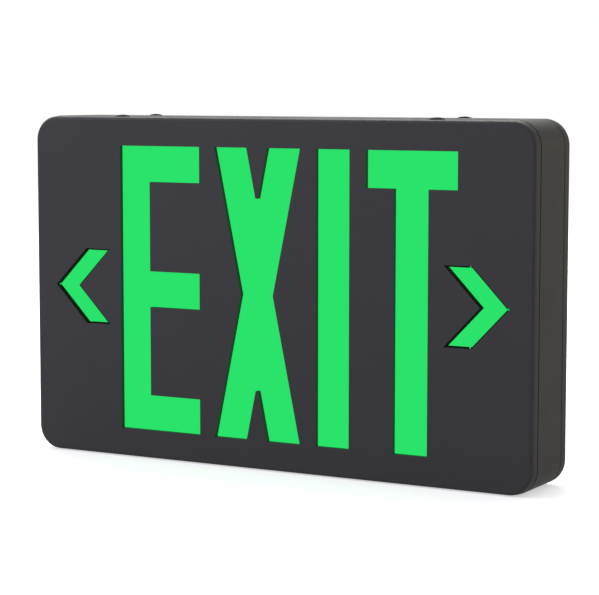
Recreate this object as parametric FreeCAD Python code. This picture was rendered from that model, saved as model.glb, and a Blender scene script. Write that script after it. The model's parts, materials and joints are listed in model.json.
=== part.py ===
import FreeCAD, Part
import math
import os

# Emergency exit light: a shallow three-layer box of black moulded plastic.
# A front cover with a lit green legend and a plain back cover snap on to a deep frame.
# The frame carries a white light tray, its lamp boards, the charger and the battery.
# X runs to the right of a person facing the legend, Y runs from the legend to the
# wall, Z is up.  The origin is the middle of the underside.  Sizes are millimetres.

V = FreeCAD.Vector

# ---------------------------------------------------------------- driving sizes
# Outside of the light
WIDTH = 295.8
HEIGHT = 183.7
CORNER_R = 13.2
FRONT_DEPTH = 6.0            # side of the front cover
FRAME_DEPTH = 29.2           # side of the frame
BACK_DEPTH = 7.0             # side of the back cover
FRONT_DRAFT = 0.7            # how far the front cover draws in from its seam to its face
FRONT_EDGE_R = 1.6           # soft edge round the legend face
BACK_EDGE = 0.8              # chamfer round the back

# Walls and fits
FACE_WALL = 2.5
BACK_WALL = 2.5
FRAME_WALL = 2.5
SLIDE_FIT = 0.3              # between a cover's tongues and the frame
SEAM_WIDTH = 0.7             # shadow line round each cover
SEAM_DEPTH = 0.9

# Snap tongues inside the rim of both covers
TONGUE_WIDTH = 16.0
TONGUE_THICK = 1.6
TONGUE_REACH = 6.0           # how far it enters the frame
TONGUE_LEAD = 0.6            # lead-in chamfer at its tip
TONGUE_PITCH = 93.0          # from the middle to the outer tongues

# Arched release lips above the outer tongues, on the top edge only
LIP_WIDTH = 8.6
LIP_HEIGHT = 0.8
LIP_DEPTH = 1.6

# Arrow apertures, both knocked out, each with a ledge left by its score line
ARROW_END = 14.5             # from the end of the light to the point of an arrow
ARROW_HALF = 19.6            # half its height
ARROW_RUN = 19.0             # from its point back to its shoulder
ARROW_STROKE = 13.4          # width of its arm, measured level
ARROW_LEDGE = 0.75           # width of the ledge round it
ARROW_LEDGE_DEPTH = 0.6      # how far the ledge lies behind the face
GATE_SIZE = 1.3              # square notch left where a knock-out gate broke off

# Green lens behind the face
LENS_THICK = 1.5
LENS_GAP = 0.5               # to the tongues
HOOK_WIDTH = 10.0            # moulded hooks that hold the lens
HOOK_THICK = 1.6
HOOK_GAP = 0.2               # to the edge of the lens
HOOK_NOSE = 2.0              # how far a hook reaches over the lens
HOOK_CAP = 1.0               # thickness of its nose
HOOK_PITCH_X = 140.0         # between the hooks along the top and the bottom
HOOK_PITCH_Z = 80.0          # between the hooks along each end

# White light tray
TRAY_LENS_GAP = 0.6
TRAY_FLOOR_BACK = 18.0       # from the face to the back of the tray floor
TRAY_WALL = 1.5
TRAY_INSET = 9.5             # tray rim inside the edge of the lens
TRAY_SLOPE = 5.0             # how far its sides lean in
TRAY_CORNER = 12.0           # cut across its corners
LUG_WIDTH = 12.0
LUG_HOLE = 3.6
BOSS_WIDTH = 9.0
BOSS_INSET = 6.0             # boss centre from the inside of the frame
BOSS_LENGTH = 10.0
BOSS_END = 27.9              # from the end of the light to a boss
PILOT_DIA = 2.5

# Pan head screws
SCREW_HEAD_DIA = 5.6
SCREW_HEAD_THICK = 1.8
SCREW_SHANK_DIA = 2.46
TRAY_SCREW_LENGTH = 8.0
BOARD_SCREW_LENGTH = 5.0

# Lamp boards
LAMP_BOARD_END = 9.0         # from the inside of the tray to the end of a board
LAMP_BOARD_HEIGHT = 11.0
LAMP_BOARD_THICK = 1.2
LAMP_BOARD_OFFSET = 38.0     # from mid height to a board's centre line
LAMP_COUNT = 10
LAMP_EDGE = 14.5             # from the end of a board to its last lamp
LAMP_SIZE = 5.0
LAMP_THICK = 1.6
LAMP_DISH = 3.6              # square window over each lamp
LAMP_DISH_DEPTH = 0.4
CLIP_END = 26.0              # from the end of a board to its outer clips
CLIP_WIDTH = 8.0
CLIP_THICK = 1.2
CLIP_NOSE = 1.0
CLIP_GAP = 0.1

# Control board behind the tray
BOARD_LEFT = -12.0
BOARD_WIDTH = 124.0
BOARD_BOTTOM = 7.0
BOARD_HEIGHT = 58.0
BOARD_THICK = 1.6
POST_WIDTH = 6.0
POST_LENGTH = 4.0
POST_INSET = 5.0             # from the left, right and upper edges to a post
POST_RISE = 17.0             # from the lower edge to the lower posts
BOARD_HOLE = 3.0
BOARD_BOSS_GAP = 1.0         # clear of a boss that its corner meets

# Test button and charge lamp in the underside
BUTTON_X = 64.0
BUTTON_DIA = 7.0
BUTTON_FIT = 0.1             # radial running fit in the frame
BUTTON_SINK = 0.5            # how far its face lies inside the underside
BUTTON_TRAVEL = 1.5
BUTTON_FLANGE_DIA = 9.6
BUTTON_FLANGE_THICK = 1.0
BUTTON_FLANGE_GAP = 0.1
STEM_DIA = 3.0
STEM_FIT = 0.1
STEM_LENGTH = 8.0
BUTTON_EDGE = 0.6
SWITCH_SIZE = 8.0
SWITCH_HEIGHT = 9.0
SWITCH_GAP = 0.6             # over the pressed flange
INDICATOR_X = 46.0
INDICATOR_DIA = 5.0
INDICATOR_FIT = 0.2
INDICATOR_HOLDER = 6.0       # width and height of its block on the board
INDICATOR_Z = 9.0            # underside of that block

# Battery pack of three cells under one sleeve
CELL_DIA = 14.5
CELL_LENGTH = 50.0
CELL_COUNT = 3
SLEEVE_FILL = 11.0           # thickness of the sleeve between two cells
BATTERY_X = -55.0
BATTERY_Z = 42.0
CRADLE_BASE = 2.0
CRADLE_ARM = 1.8
CRADLE_ARM_WIDTH = 12.0
CRADLE_ARM_PITCH = 28.0
CRADLE_FIT = 0.2
CRADLE_BEAD = 0.8            # how far a bead hooks over the pack
CRADLE_PEG = 3.0
CRADLE_PEG_GAP = 0.05

# Parts on the control board: places are x and z, sizes are width, rise and height
CORE_X = 12.5
CORE_Z = 42.0
CORE_WIDTH = 32.0
CORE_HEIGHT = 27.0
CORE_DEPTH = 8.0
CORE_LEG = 5.4
COIL_STAND = 3.2             # winding standing out of the core at front and back
COIL_GAP = 0.2
CAPACITOR_PLACES = ((43.0, 33.0), (54.0, 33.0))
CAPACITOR_DIA = 8.0
CAPACITOR_LENGTH = 12.0
RELAY_PLACE = (68.0, 55.0)
RELAY_SIZE = (15.0, 10.0, 12.0)
CHIP_PLACE = (74.0, 38.0)
CHIP_SIZE = (10.0, 2.2, 6.4)
FUSE_PLACE = (42.0, 45.5)
FUSE_DIA = 5.0
FUSE_LENGTH = 20.0
FUSE_CLIP_LENGTH = 4.0
FUSE_CLIP_WALL = 0.6
FUSE_CLIP_GAP = 0.05
FUSE_RISE = 3.6              # its centre line above the board
TERMINAL_X = 42.0
TERMINAL_WAYS = 3
TERMINAL_PITCH = 7.5
TERMINAL_HEIGHT = 12.0
TERMINAL_RISE = 11.0
TERMINAL_ENTRY = 4.5
TERMINAL_ENTRY_DEPTH = 7.0
TERMINAL_RELEASE = 2.4       # square release slot behind each wire entry
TERMINAL_RELEASE_DEPTH = 3.0
CASE_CHAMFER = 0.5
COIL_CORNER_R = 1.5
LAMP_SOCKETS_X = (86.0, 97.0)
BATTERY_SOCKET_Z = 44.0
SOCKET_WIDTH = 7.5
SOCKET_RISE = 6.0
SOCKET_DEPTH = 6.0
SOCKET_WALL = 0.8
PLUG_GAP = 0.1
PLUG_REACH = 4.0

# Insulated leads
LEAD_ACROSS = 2.4            # across the flats of a jacketed pair
LEAD_SIDES = 6
LEAD_BEND = 4.0
LEAD_HOLE = 5.0
LEAD_HOLE_END = 6.0          # from the end of a lamp board to its lead
HARNESS_Z = 76.0             # level run above the control board

# Fixings in the back cover
JUNCTION_PITCH = 88.9        # screw pitch of an octagonal wall box
JUNCTION_SLOT = 5.0
JUNCTION_SLOT_LENGTH = 14.0
WIRE_HOLE_DIA = 22.2
KEYHOLE_PITCH = 190.0
KEYHOLE_DROP = 36.0          # from the top of the cover to the hanging point
KEYHOLE_HEAD = 9.0
KEYHOLE_SLOT = 4.6
KEYHOLE_RUN = 9.0
RIB_THICK = 1.5
RIB_HEIGHT = 2.5

# ---------------------------------------------------------------- worked-out places
DEPTH = FRONT_DEPTH + FRAME_DEPTH + BACK_DEPTH
ARROW_TIP = WIDTH / 2 - ARROW_END
BOSS_X = WIDTH / 2 - BOSS_END
FACE_Y = -DEPTH / 2
FRAME_Y0 = FACE_Y + FRONT_DEPTH
FRAME_Y1 = FRAME_Y0 + FRAME_DEPTH
BACK_Y = DEPTH / 2
MID_Z = HEIGHT / 2
RIM_WALL = FRAME_WALL + SLIDE_FIT
LENS_Y0 = FACE_Y + FACE_WALL
LENS_Y1 = LENS_Y0 + LENS_THICK
LENS_INSET = RIM_WALL + TONGUE_THICK + LENS_GAP
TRAY_FLOOR_X = WIDTH / 2 - LENS_INSET - TRAY_INSET - TRAY_SLOPE - TRAY_WALL
LAMP_BOARD_LENGTH = 2 * (TRAY_FLOOR_X - LAMP_BOARD_END)
LAMP_PITCH = (LAMP_BOARD_LENGTH - 2 * LAMP_EDGE) / (LAMP_COUNT - 1)
CLIP_X = LAMP_BOARD_LENGTH / 2 - CLIP_END
LEAD_HOLE_X = LAMP_BOARD_LENGTH / 2 - LEAD_HOLE_END
TRAY_Y0 = LENS_Y1 + TRAY_LENS_GAP
TRAY_Y2 = FACE_Y + TRAY_FLOOR_BACK
TRAY_Y1 = TRAY_Y2 - TRAY_WALL
BOARD_Y0 = TRAY_Y2 + POST_LENGTH
BOARD_Y1 = BOARD_Y0 + BOARD_THICK
BUTTON_Y = BOARD_Y1 + SWITCH_SIZE / 2
FLANGE_Z = FRAME_WALL + BUTTON_FLANGE_GAP
PLUG_Y = BOARD_Y1 + SOCKET_RISE / 2
SWITCH_Z = FLANGE_Z + BUTTON_FLANGE_THICK + BUTTON_TRAVEL + SWITCH_GAP
FAR = 2 * WIDTH              # longer than anything, for cutting tools


# ---------------------------------------------------------------- shape helpers
def block(x0, x1, y0, y1, z0, z1):
    return Part.makeBox(x1 - x0, y1 - y0, z1 - z0, V(x0, y0, z0))


def centred(x, z, width, height, y0, y1):
    return block(x - width / 2, x + width / 2, y0, y1, z - height / 2, z + height / 2)


def rod_y(x, z, dia, y0, y1):
    return Part.makeCylinder(dia / 2, y1 - y0, V(x, y0, z), V(0, 1, 0))


def rod_z(x, y, dia, z0, z1):
    return Part.makeCylinder(dia / 2, z1 - z0, V(x, y, z0), V(0, 0, 1))


def rod_x(y, z, dia, x0, x1):
    return Part.makeCylinder(dia / 2, x1 - x0, V(x0, y, z), V(1, 0, 0))


def round_wire(inset, radius, y, width=WIDTH, height=HEIGHT, z=MID_Z):
    """Closed outline with rounded corners, square to Y, inset from the given size."""
    a = width / 2 - inset
    b = height / 2 - inset
    k = radius * (1 - math.sqrt(0.5))
    edges = []
    for sx, sz in ((1, 1), (-1, 1), (-1, -1), (1, -1)):
        on_side = V(sx * a, y, z + sz * (b - radius))
        on_end = V(sx * (a - radius), y, z + sz * b)
        middle = V(sx * (a - k), y, z + sz * (b - k))
        start, end = (on_side, on_end) if sx * sz > 0 else (on_end, on_side)
        if edges:
            edges.append(Part.LineSegment(edges[-1].valueAt(edges[-1].LastParameter), start).toShape())
        edges.append(Part.Arc(start, middle, end).toShape())
    last = edges[-1].valueAt(edges[-1].LastParameter)
    first = edges[0].valueAt(edges[0].FirstParameter)
    edges.append(Part.LineSegment(last, first).toShape())
    return Part.Wire(edges)


def slab(inset, radius, y0, y1):
    return Part.Face(round_wire(inset, radius, y0)).extrude(V(0, y1 - y0, 0))


def drafted(radius, y0, y1, draft):
    """Full-size outline at y0 that draws in by draft to y1: flat sides and conical corners."""
    a = WIDTH / 2
    b = HEIGHT / 2
    wide = [V(-a, y0, 0), V(a, y0, 0), V(a - draft, y1, 0), V(draft - a, y1, 0)]
    tall = [V(0, y0, -b), V(0, y0, b), V(0, y1, b - draft), V(0, y1, draft - b)]
    level = Part.Face(Part.makePolygon(wide + wide[:1])).extrude(V(0, 0, 2 * (b - radius)))
    upright = Part.Face(Part.makePolygon(tall + tall[:1])).extrude(V(2 * (a - radius), 0, 0))
    pieces = [level.translated(V(0, 0, MID_Z - b + radius)), upright.translated(V(radius - a, 0, MID_Z))]
    run = V(0, y1 - y0, 0)
    for sx in (-1, 1):
        for sz in (-1, 1):
            middle = V(sx * (a - radius), y0, MID_Z + sz * (b - radius))
            pieces.append(Part.makeCone(radius, radius - draft, abs(y1 - y0), middle, run))
    return fuse(*pieces)


def prism(points, y0, y1):
    """Extrude a closed outline of (x, z) points along Y."""
    corners = [V(x, y0, z) for x, z in points]
    return Part.Face(Part.makePolygon(corners + corners[:1])).extrude(V(0, y1 - y0, 0))


def edges_at(shape, y):
    """The outline edges of a shape that lie flat in the plane at y."""
    return [e for e in shape.Edges
            if abs(e.BoundBox.YMin - y) < 1e-6 and abs(e.BoundBox.YMax - y) < 1e-6]


def mirrored(shape):
    return shape.mirror(V(0, 0, 0), V(1, 0, 0))


def fuse(first, *others):
    return first.fuse(list(others)).removeSplitter()


def screw(x, z, head_y, length, side):
    """Pan head screw along Y.  The head sits on head_y, the shank runs to -side."""
    tip = head_y - side * length
    top = head_y + side * SCREW_HEAD_THICK
    head = rod_y(x, z, SCREW_HEAD_DIA, min(head_y, top), max(head_y, top))
    return fuse(head, rod_y(x, z, SCREW_SHANK_DIA, min(head_y, tip), max(head_y, tip)))


def lead(points):
    """Jacketed pair through the points, straight runs joined by tangent arcs."""
    pts = [V(*p) for p in points]
    edges = []
    here = pts[0]
    for before, corner, after in zip(pts, pts[1:], pts[2:]):
        inward = (before - corner).normalize()
        onward = (after - corner).normalize()
        half = inward.getAngle(onward) / 2
        reach = LEAD_BEND / math.tan(half)
        start = corner + inward * reach
        end = corner + onward * reach
        middle = corner + (inward + onward).normalize() * (LEAD_BEND / math.sin(half) - LEAD_BEND)
        edges.append(Part.LineSegment(here, start).toShape())
        edges.append(Part.Arc(start, middle, end).toShape())
        here = end
    edges.append(Part.LineSegment(here, pts[-1]).toShape())
    ring = []
    along = (pts[1] - pts[0]).normalize()
    across = along.cross(V(0.3, 0.5, 1.0)).normalize()
    radius = LEAD_ACROSS / 2 / math.cos(math.pi / LEAD_SIDES)
    turn = FreeCAD.Rotation(along, 360 / LEAD_SIDES)
    for i in range(LEAD_SIDES):
        ring.append(pts[0] + across * radius)
        across = turn.multVec(across)
    section = Part.makePolygon(ring + ring[:1])
    return Part.Wire(edges).makePipeShell([section], True, True)


# ---------------------------------------------------------------- covers
def tongues(root_y, tip_y):
    """Snap tongues inside a cover's rim, from its wall to their tips in the frame."""
    side = 1 if tip_y > root_y else -1
    a = WIDTH / 2 - RIM_WALL
    b = HEIGHT / 2 - RIM_WALL
    blades = []
    for x in (-TONGUE_PITCH, 0, TONGUE_PITCH):
        for sz in (-1, 1):
            blade = tongue(root_y, tip_y, side)
            blade.rotate(V(0, 0, 0), V(0, 1, 0), 0 if sz > 0 else 180)
            blade.translate(V(x, 0, MID_Z + sz * b))
            blades.append(blade)
    for sx in (-1, 1):
        blade = tongue(root_y, tip_y, side)
        blade.rotate(V(0, 0, 0), V(0, 1, 0), 90 * sx)
        blade.translate(V(sx * a, 0, MID_Z))
        blades.append(blade)
    return blades


def tongue(root_y, tip_y, side):
    """One tongue under the plane z = 0, with a lead-in on its outer face."""
    lead_y = tip_y - side * TONGUE_LEAD
    profile = [V(-TONGUE_WIDTH / 2, root_y, 0), V(-TONGUE_WIDTH / 2, lead_y, 0),
               V(-TONGUE_WIDTH / 2, tip_y, -TONGUE_LEAD),
               V(-TONGUE_WIDTH / 2, tip_y, -TONGUE_THICK), V(-TONGUE_WIDTH / 2, root_y, -TONGUE_THICK)]
    return Part.Face(Part.makePolygon(profile + profile[:1])).extrude(V(TONGUE_WIDTH, 0, 0))


def lips(y0, y1):
    """Arched lips on top of a rim, where a blade levers the cover off."""
    r = (LIP_WIDTH ** 2 / 4 + LIP_HEIGHT ** 2) / (2 * LIP_HEIGHT)
    arches = []
    for x in (-TONGUE_PITCH, TONGUE_PITCH):
        disc = rod_y(x, HEIGHT + LIP_HEIGHT - r, 2 * r, y0, y1)
        root = HEIGHT - RIM_WALL / 2
        arches.append(disc.common(block(x - LIP_WIDTH, x + LIP_WIDTH, y0, y1, root, FAR)))
    return arches


def seam_ring(y0, y1):
    inner = slab(SEAM_DEPTH, CORNER_R - SEAM_DEPTH, y0 - 1, y1 + 1)
    return slab(-1, CORNER_R + 1, y0, y1).cut(inner)


def arrow_outline(spread):
    """Corners of the right-hand arrow, with its outline spread outwards by a width."""
    slope = ARROW_RUN / ARROW_HALF
    lean = spread * math.hypot(1, slope)
    high = ARROW_HALF + spread
    outer = ARROW_TIP + lean
    inner = ARROW_TIP - ARROW_STROKE - lean
    upper = [(outer, MID_Z), (outer - slope * high, MID_Z + high), (inner - slope * high, MID_Z + high)]
    return upper + [(inner, MID_Z), (inner - slope * high, MID_Z - high), (outer - slope * high, MID_Z - high)]


def arrow():
    """Cutting tool for the right-hand arrow: a score ledge, the opening and three gates."""
    y0 = FACE_Y - 1
    y1 = LENS_Y0 + 1
    gate_x = ARROW_TIP - ARROW_RUN - GATE_SIZE
    gate_z = ARROW_HALF + ARROW_LEDGE / 2
    places = [(ARROW_TIP + ARROW_LEDGE / 2, MID_Z), (gate_x, MID_Z + gate_z), (gate_x, MID_Z - gate_z)]
    gates = [centred(x, z, GATE_SIZE, GATE_SIZE, y0, y1) for x, z in places]
    return fuse(prism(arrow_outline(0), y0, y1), prism(arrow_outline(ARROW_LEDGE), y0, FACE_Y + ARROW_LEDGE_DEPTH),
                *gates)


def lens_hooks():
    """L-shaped hooks between the rim and the lens, with their noses over its back."""
    a = WIDTH / 2 - LENS_INSET + HOOK_GAP
    b = HEIGHT / 2 - LENS_INSET + HOOK_GAP
    y1 = LENS_Y1 + HOOK_GAP + HOOK_CAP
    profile = [V(0, LENS_Y0, 0), V(0, y1 - HOOK_CAP, 0), V(-HOOK_NOSE - HOOK_GAP, y1 - HOOK_CAP, 0),
               V(-HOOK_NOSE - HOOK_GAP, y1, 0), V(HOOK_THICK, y1, 0), V(HOOK_THICK, LENS_Y0, 0)]
    hook = Part.Face(Part.makePolygon(profile + profile[:1])).extrude(V(0, 0, HOOK_WIDTH))
    hook.translate(V(0, 0, -HOOK_WIDTH / 2))
    places = [(sx * a, sz * HOOK_PITCH_Z / 2, 0 if sx > 0 else 180) for sx in (-1, 1) for sz in (-1, 1)]
    places += [(sx * HOOK_PITCH_X / 2, sz * b, -90 * sz) for sx in (-1, 1) for sz in (-1, 1)]
    hooks = []
    for x, z, angle in places:
        copy = hook.copy()
        copy.rotate(V(0, 0, 0), V(0, 1, 0), angle)
        hooks.append(copy.translated(V(x, 0, MID_Z + z)))
    return hooks


def front_cover():
    outer = drafted(CORNER_R, FRAME_Y0, FACE_Y, FRONT_DRAFT)
    outer = outer.makeFillet(FRONT_EDGE_R, edges_at(outer, FACE_Y))
    cover = outer.cut(slab(RIM_WALL, CORNER_R - RIM_WALL, LENS_Y0, FRAME_Y0 + 1))
    cover = cover.cut(seam_ring(FRAME_Y0 - SEAM_WIDTH, FRAME_Y0 + 1))
    right = arrow()
    cover = cover.cut([right, mirrored(right)])
    lip_back = FRAME_Y0 - SEAM_WIDTH
    return fuse(cover, *tongues(LENS_Y0, FRAME_Y0 + TONGUE_REACH), *lips(lip_back - LIP_DEPTH, lip_back),
                *lens_hooks())


def green_lens():
    return slab(LENS_INSET, CORNER_R - LENS_INSET, LENS_Y0, LENS_Y1)


def keyhole(x):
    """Keyhole slot through the back wall: a round entry below a narrow run."""
    y0 = BACK_Y - BACK_WALL - RIB_HEIGHT - 1
    y1 = BACK_Y + 1
    top = HEIGHT - KEYHOLE_DROP
    entry = rod_y(x, top - KEYHOLE_RUN, KEYHOLE_HEAD, y0, y1)
    run = centred(x, top - KEYHOLE_RUN / 2, KEYHOLE_SLOT, KEYHOLE_RUN, y0, y1)
    return fuse(entry, run, rod_y(x, top, KEYHOLE_SLOT, y0, y1))


def level_slot(x, z, width, length):
    y0 = BACK_Y - BACK_WALL - 1
    y1 = BACK_Y + 1
    half = (length - width) / 2
    return fuse(centred(x, z, 2 * half, width, y0, y1),
                rod_y(x - half, z, width, y0, y1), rod_y(x + half, z, width, y0, y1))


def back_cover():
    inside = BACK_Y - BACK_WALL
    outer = slab(0, CORNER_R, FRAME_Y1, BACK_Y)
    outer = outer.makeChamfer(BACK_EDGE, edges_at(outer, BACK_Y))
    cover = outer.cut(slab(RIM_WALL, CORNER_R - RIM_WALL, FRAME_Y1 - 1, inside))
    cover = cover.cut(seam_ring(FRAME_Y1 - 1, FRAME_Y1 + SEAM_WIDTH))
    lip_front = FRAME_Y1 + SEAM_WIDTH
    ribs = []
    for x in (-TONGUE_PITCH / 2, TONGUE_PITCH / 2):
        ribs.append(block(x - RIB_THICK / 2, x + RIB_THICK / 2, inside - RIB_HEIGHT, inside,
                          RIM_WALL, HEIGHT - RIM_WALL))
    cover = fuse(cover, *ribs, *tongues(inside, FRAME_Y1 - TONGUE_REACH),
                 *lips(lip_front, lip_front + LIP_DEPTH))
    holes = [rod_y(0, MID_Z, WIRE_HOLE_DIA, inside - RIB_HEIGHT - 1, BACK_Y + 1)]
    for sx in (-1, 1):
        holes.append(level_slot(sx * JUNCTION_PITCH / 2, MID_Z, JUNCTION_SLOT, JUNCTION_SLOT_LENGTH))
        holes.append(keyhole(sx * KEYHOLE_PITCH / 2))
    return cover.cut(holes)


# ---------------------------------------------------------------- frame and tray
def boss_places():
    """Centres of the bosses, with the side of the frame that carries each."""
    b = HEIGHT / 2 - FRAME_WALL - BOSS_INSET
    return [(x, MID_Z + side * b, side) for x in (-BOSS_X, BOSS_X) for side in (-1, 1)]


def tray_screw_places():
    """The two bosses at opposite corners that take a screw; the other two are rests."""
    return [(x, z, side) for x, z, side in boss_places() if x * side < 0]


def housing_frame():
    frame = slab(0, CORNER_R, FRAME_Y0, FRAME_Y1)
    frame = frame.cut(slab(FRAME_WALL, CORNER_R - FRAME_WALL, FRAME_Y0 - 1, FRAME_Y1 + 1))
    y0 = TRAY_Y2
    y1 = TRAY_Y2 + BOSS_LENGTH
    bosses = []
    holes = []
    for x, z, side in boss_places():
        height = BOSS_WIDTH / 2 + BOSS_INSET + FRAME_WALL / 2
        middle = z + side * (height - BOSS_WIDTH) / 2
        bosses.append(centred(x, middle, BOSS_WIDTH, height, y0, y1))
    for x, z, side in tray_screw_places():
        holes.append(rod_y(x, z, PILOT_DIA, y0 - 1, y1 + 1))
    holes.append(rod_z(BUTTON_X, BUTTON_Y, BUTTON_DIA + 2 * BUTTON_FIT, -1, FRAME_WALL + 1))
    holes.append(rod_z(INDICATOR_X, BUTTON_Y, INDICATOR_DIA + 2 * INDICATOR_FIT, -1, FRAME_WALL + 1))
    return fuse(frame, *bosses).cut(holes)


def post_places():
    """Two screw posts, at the upper left and the lower right of the board."""
    return [(BOARD_LEFT + POST_INSET, BOARD_BOTTOM + BOARD_HEIGHT - POST_INSET),
            (BOARD_LEFT + BOARD_WIDTH - POST_INSET, BOARD_BOTTOM + POST_RISE)]


def rest_places():
    """Two plain rests, at the other corners of the board."""
    return [(BOARD_LEFT + POST_INSET, BOARD_BOTTOM + POST_RISE),
            (BOARD_LEFT + BOARD_WIDTH - POST_INSET, BOARD_BOTTOM + BOARD_HEIGHT - POST_INSET)]


def tray_shape(inset, corner, y0, y1, lean):
    """Solid with cut corners whose flat sides lean in by lean from y0 to y1."""
    rings = []
    for y, gap in ((y0, inset), (y1, inset + lean)):
        a = WIDTH / 2 - gap
        b = HEIGHT / 2 - gap
        quarter = [(a - corner, b), (a, b - corner)]
        points = quarter + [(x, -z) for x, z in reversed(quarter)]
        points += [(-x, z) for x, z in reversed(points)]
        rings.append([V(x, y, MID_Z + z) for x, z in points])
    near, far = rings
    outlines = [near, far]
    for i in range(len(near)):
        outlines.append([near[i - 1], near[i], far[i], far[i - 1]])
    faces = [Part.Face(Part.makePolygon(ring + ring[:1])) for ring in outlines]
    solid = Part.makeSolid(Part.makeShell(faces))
    if solid.Volume < 0:
        solid.reverse()
    return solid


def lamp_clips():
    """Hooks on the tray floor that hold both lamp boards by their long edges."""
    y1 = TRAY_Y1 - LAMP_BOARD_THICK
    clips = []
    for side in (-1, 1):
        for edge in (-1, 1):
            near = edge * (LAMP_BOARD_HEIGHT / 2 + CLIP_GAP)
            far = near + edge * CLIP_THICK
            nose = near - edge * (CLIP_NOSE + CLIP_GAP)
            z = MID_Z + side * LAMP_BOARD_OFFSET
            for x in (-CLIP_X, 0, CLIP_X):
                x0 = x - CLIP_WIDTH / 2
                x1 = x + CLIP_WIDTH / 2
                clips.append(block(x0, x1, y1 - CLIP_THICK, TRAY_Y1, z + min(near, far), z + max(near, far)))
                clips.append(block(x0, x1, y1 - CLIP_THICK, y1 - CLIP_GAP, z + min(nose, far),
                                   z + max(nose, far)))
    return clips


def light_tray():
    rim = LENS_INSET + TRAY_INSET
    outer = tray_shape(rim, TRAY_CORNER, TRAY_Y0, TRAY_Y2, TRAY_SLOPE)
    inner = tray_shape(rim + TRAY_WALL, TRAY_CORNER - TRAY_WALL / 2, TRAY_Y0, TRAY_Y1, TRAY_SLOPE)
    solids = lamp_clips()
    holes = []
    for x, z, side in boss_places():
        inward = TRAY_SLOPE + rim - FRAME_WALL - BOSS_INSET + TRAY_WALL
        outward = LUG_WIDTH / 2 - FRAME_WALL
        solids.append(centred(x, z - side * (inward - outward) / 2, LUG_WIDTH, inward + outward,
                              TRAY_Y1, TRAY_Y2))
    for x, z, side in tray_screw_places():
        holes.append(rod_y(x, z, LUG_HOLE, TRAY_Y1 - 1, TRAY_Y2 + 1))
    for x, z in post_places() + rest_places():
        solids.append(centred(x, z, POST_WIDTH, POST_WIDTH, TRAY_Y1, BOARD_Y0))
    for x, z in post_places():
        holes.append(rod_y(x, z, PILOT_DIA, TRAY_Y2, BOARD_Y0 + 1))
    for x, z in peg_places():
        hole = CRADLE_PEG + 2 * CRADLE_PEG_GAP
        holes.append(centred(x, z, hole, hole, TRAY_Y1 - 1, TRAY_Y2 + 1))
    for side in (-1, 1):
        holes.append(centred(side * LEAD_HOLE_X, MID_Z + side * LAMP_BOARD_OFFSET, LEAD_HOLE, LEAD_HOLE,
                             TRAY_Y1 - 1, TRAY_Y2 + 1))
    return fuse(outer.cut(inner), *solids).cut(holes)


def tray_screws():
    return Part.Compound([screw(x, z, TRAY_Y1, TRAY_SCREW_LENGTH, -1) for x, z, side in tray_screw_places()])


# ---------------------------------------------------------------- lamp boards
def lamp_board(side):
    z = MID_Z + side * LAMP_BOARD_OFFSET
    return centred(0, z, LAMP_BOARD_LENGTH, LAMP_BOARD_HEIGHT, TRAY_Y1 - LAMP_BOARD_THICK, TRAY_Y1)


def lamps(side):
    z = MID_Z + side * LAMP_BOARD_OFFSET
    y1 = TRAY_Y1 - LAMP_BOARD_THICK
    y0 = y1 - LAMP_THICK
    chips = []
    for i in range(LAMP_COUNT):
        x = (i - (LAMP_COUNT - 1) / 2) * LAMP_PITCH
        chip = centred(x, z, LAMP_SIZE, LAMP_SIZE, y0, y1)
        chips.append(chip.cut(centred(x, z, LAMP_DISH, LAMP_DISH, y0 - 1, y0 + LAMP_DISH_DEPTH)))
    return Part.Compound(chips)


# ---------------------------------------------------------------- control board
def control_board():
    board = block(BOARD_LEFT, BOARD_LEFT + BOARD_WIDTH, BOARD_Y0, BOARD_Y1,
                  BOARD_BOTTOM, BOARD_BOTTOM + BOARD_HEIGHT)
    cuts = [rod_y(x, z, BOARD_HOLE, BOARD_Y0 - 1, BOARD_Y1 + 1) for x, z in post_places()]
    notch = BOSS_WIDTH + 2 * BOARD_BOSS_GAP
    for x, z, side in boss_places():
        cuts.append(centred(x, z, notch, notch, BOARD_Y0 - 1, BOARD_Y1 + 1))
    return board.cut(cuts)


def board_screws():
    return Part.Compound([screw(x, z, BOARD_Y1, BOARD_SCREW_LENGTH, 1) for x, z in post_places()])


def on_board(place, size):
    """A plain moulded case standing on the back of the control board."""
    x, z = place
    width, rise, height = size
    case = centred(x, z, width, height, BOARD_Y1, BOARD_Y1 + rise)
    return case.makeChamfer(CASE_CHAMFER, edges_at(case, BOARD_Y1 + rise))


def transformer_core():
    y0 = BOARD_Y1 + COIL_STAND
    core = centred(CORE_X, CORE_Z, CORE_WIDTH, CORE_HEIGHT, y0, y0 + CORE_DEPTH)
    window = (CORE_WIDTH - 4 * CORE_LEG) / 2
    offset = CORE_LEG + window / 2
    return core.cut([centred(CORE_X + sx * offset, CORE_Z, window, CORE_HEIGHT - 2 * CORE_LEG,
                             y0 - 1, y0 + CORE_DEPTH + 1) for sx in (-1, 1)])


def transformer_coil():
    window = (CORE_WIDTH - 4 * CORE_LEG) / 2
    height = CORE_HEIGHT - 2 * CORE_LEG - 2 * COIL_GAP
    rise = CORE_DEPTH + 2 * COIL_STAND
    width = 2 * (CORE_LEG + window - COIL_GAP)
    y0 = BOARD_Y1 + COIL_STAND - COIL_GAP
    coil = centred(CORE_X, CORE_Z, width, height, BOARD_Y1, BOARD_Y1 + rise)
    upright = [e for e in coil.Edges if e.BoundBox.ZLength > height / 2]
    coil = coil.makeFillet(COIL_CORNER_R, upright)
    return coil.cut(centred(CORE_X, CORE_Z, 2 * (CORE_LEG + COIL_GAP), height + 2,
                            y0, y0 + CORE_DEPTH + 2 * COIL_GAP))


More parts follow.
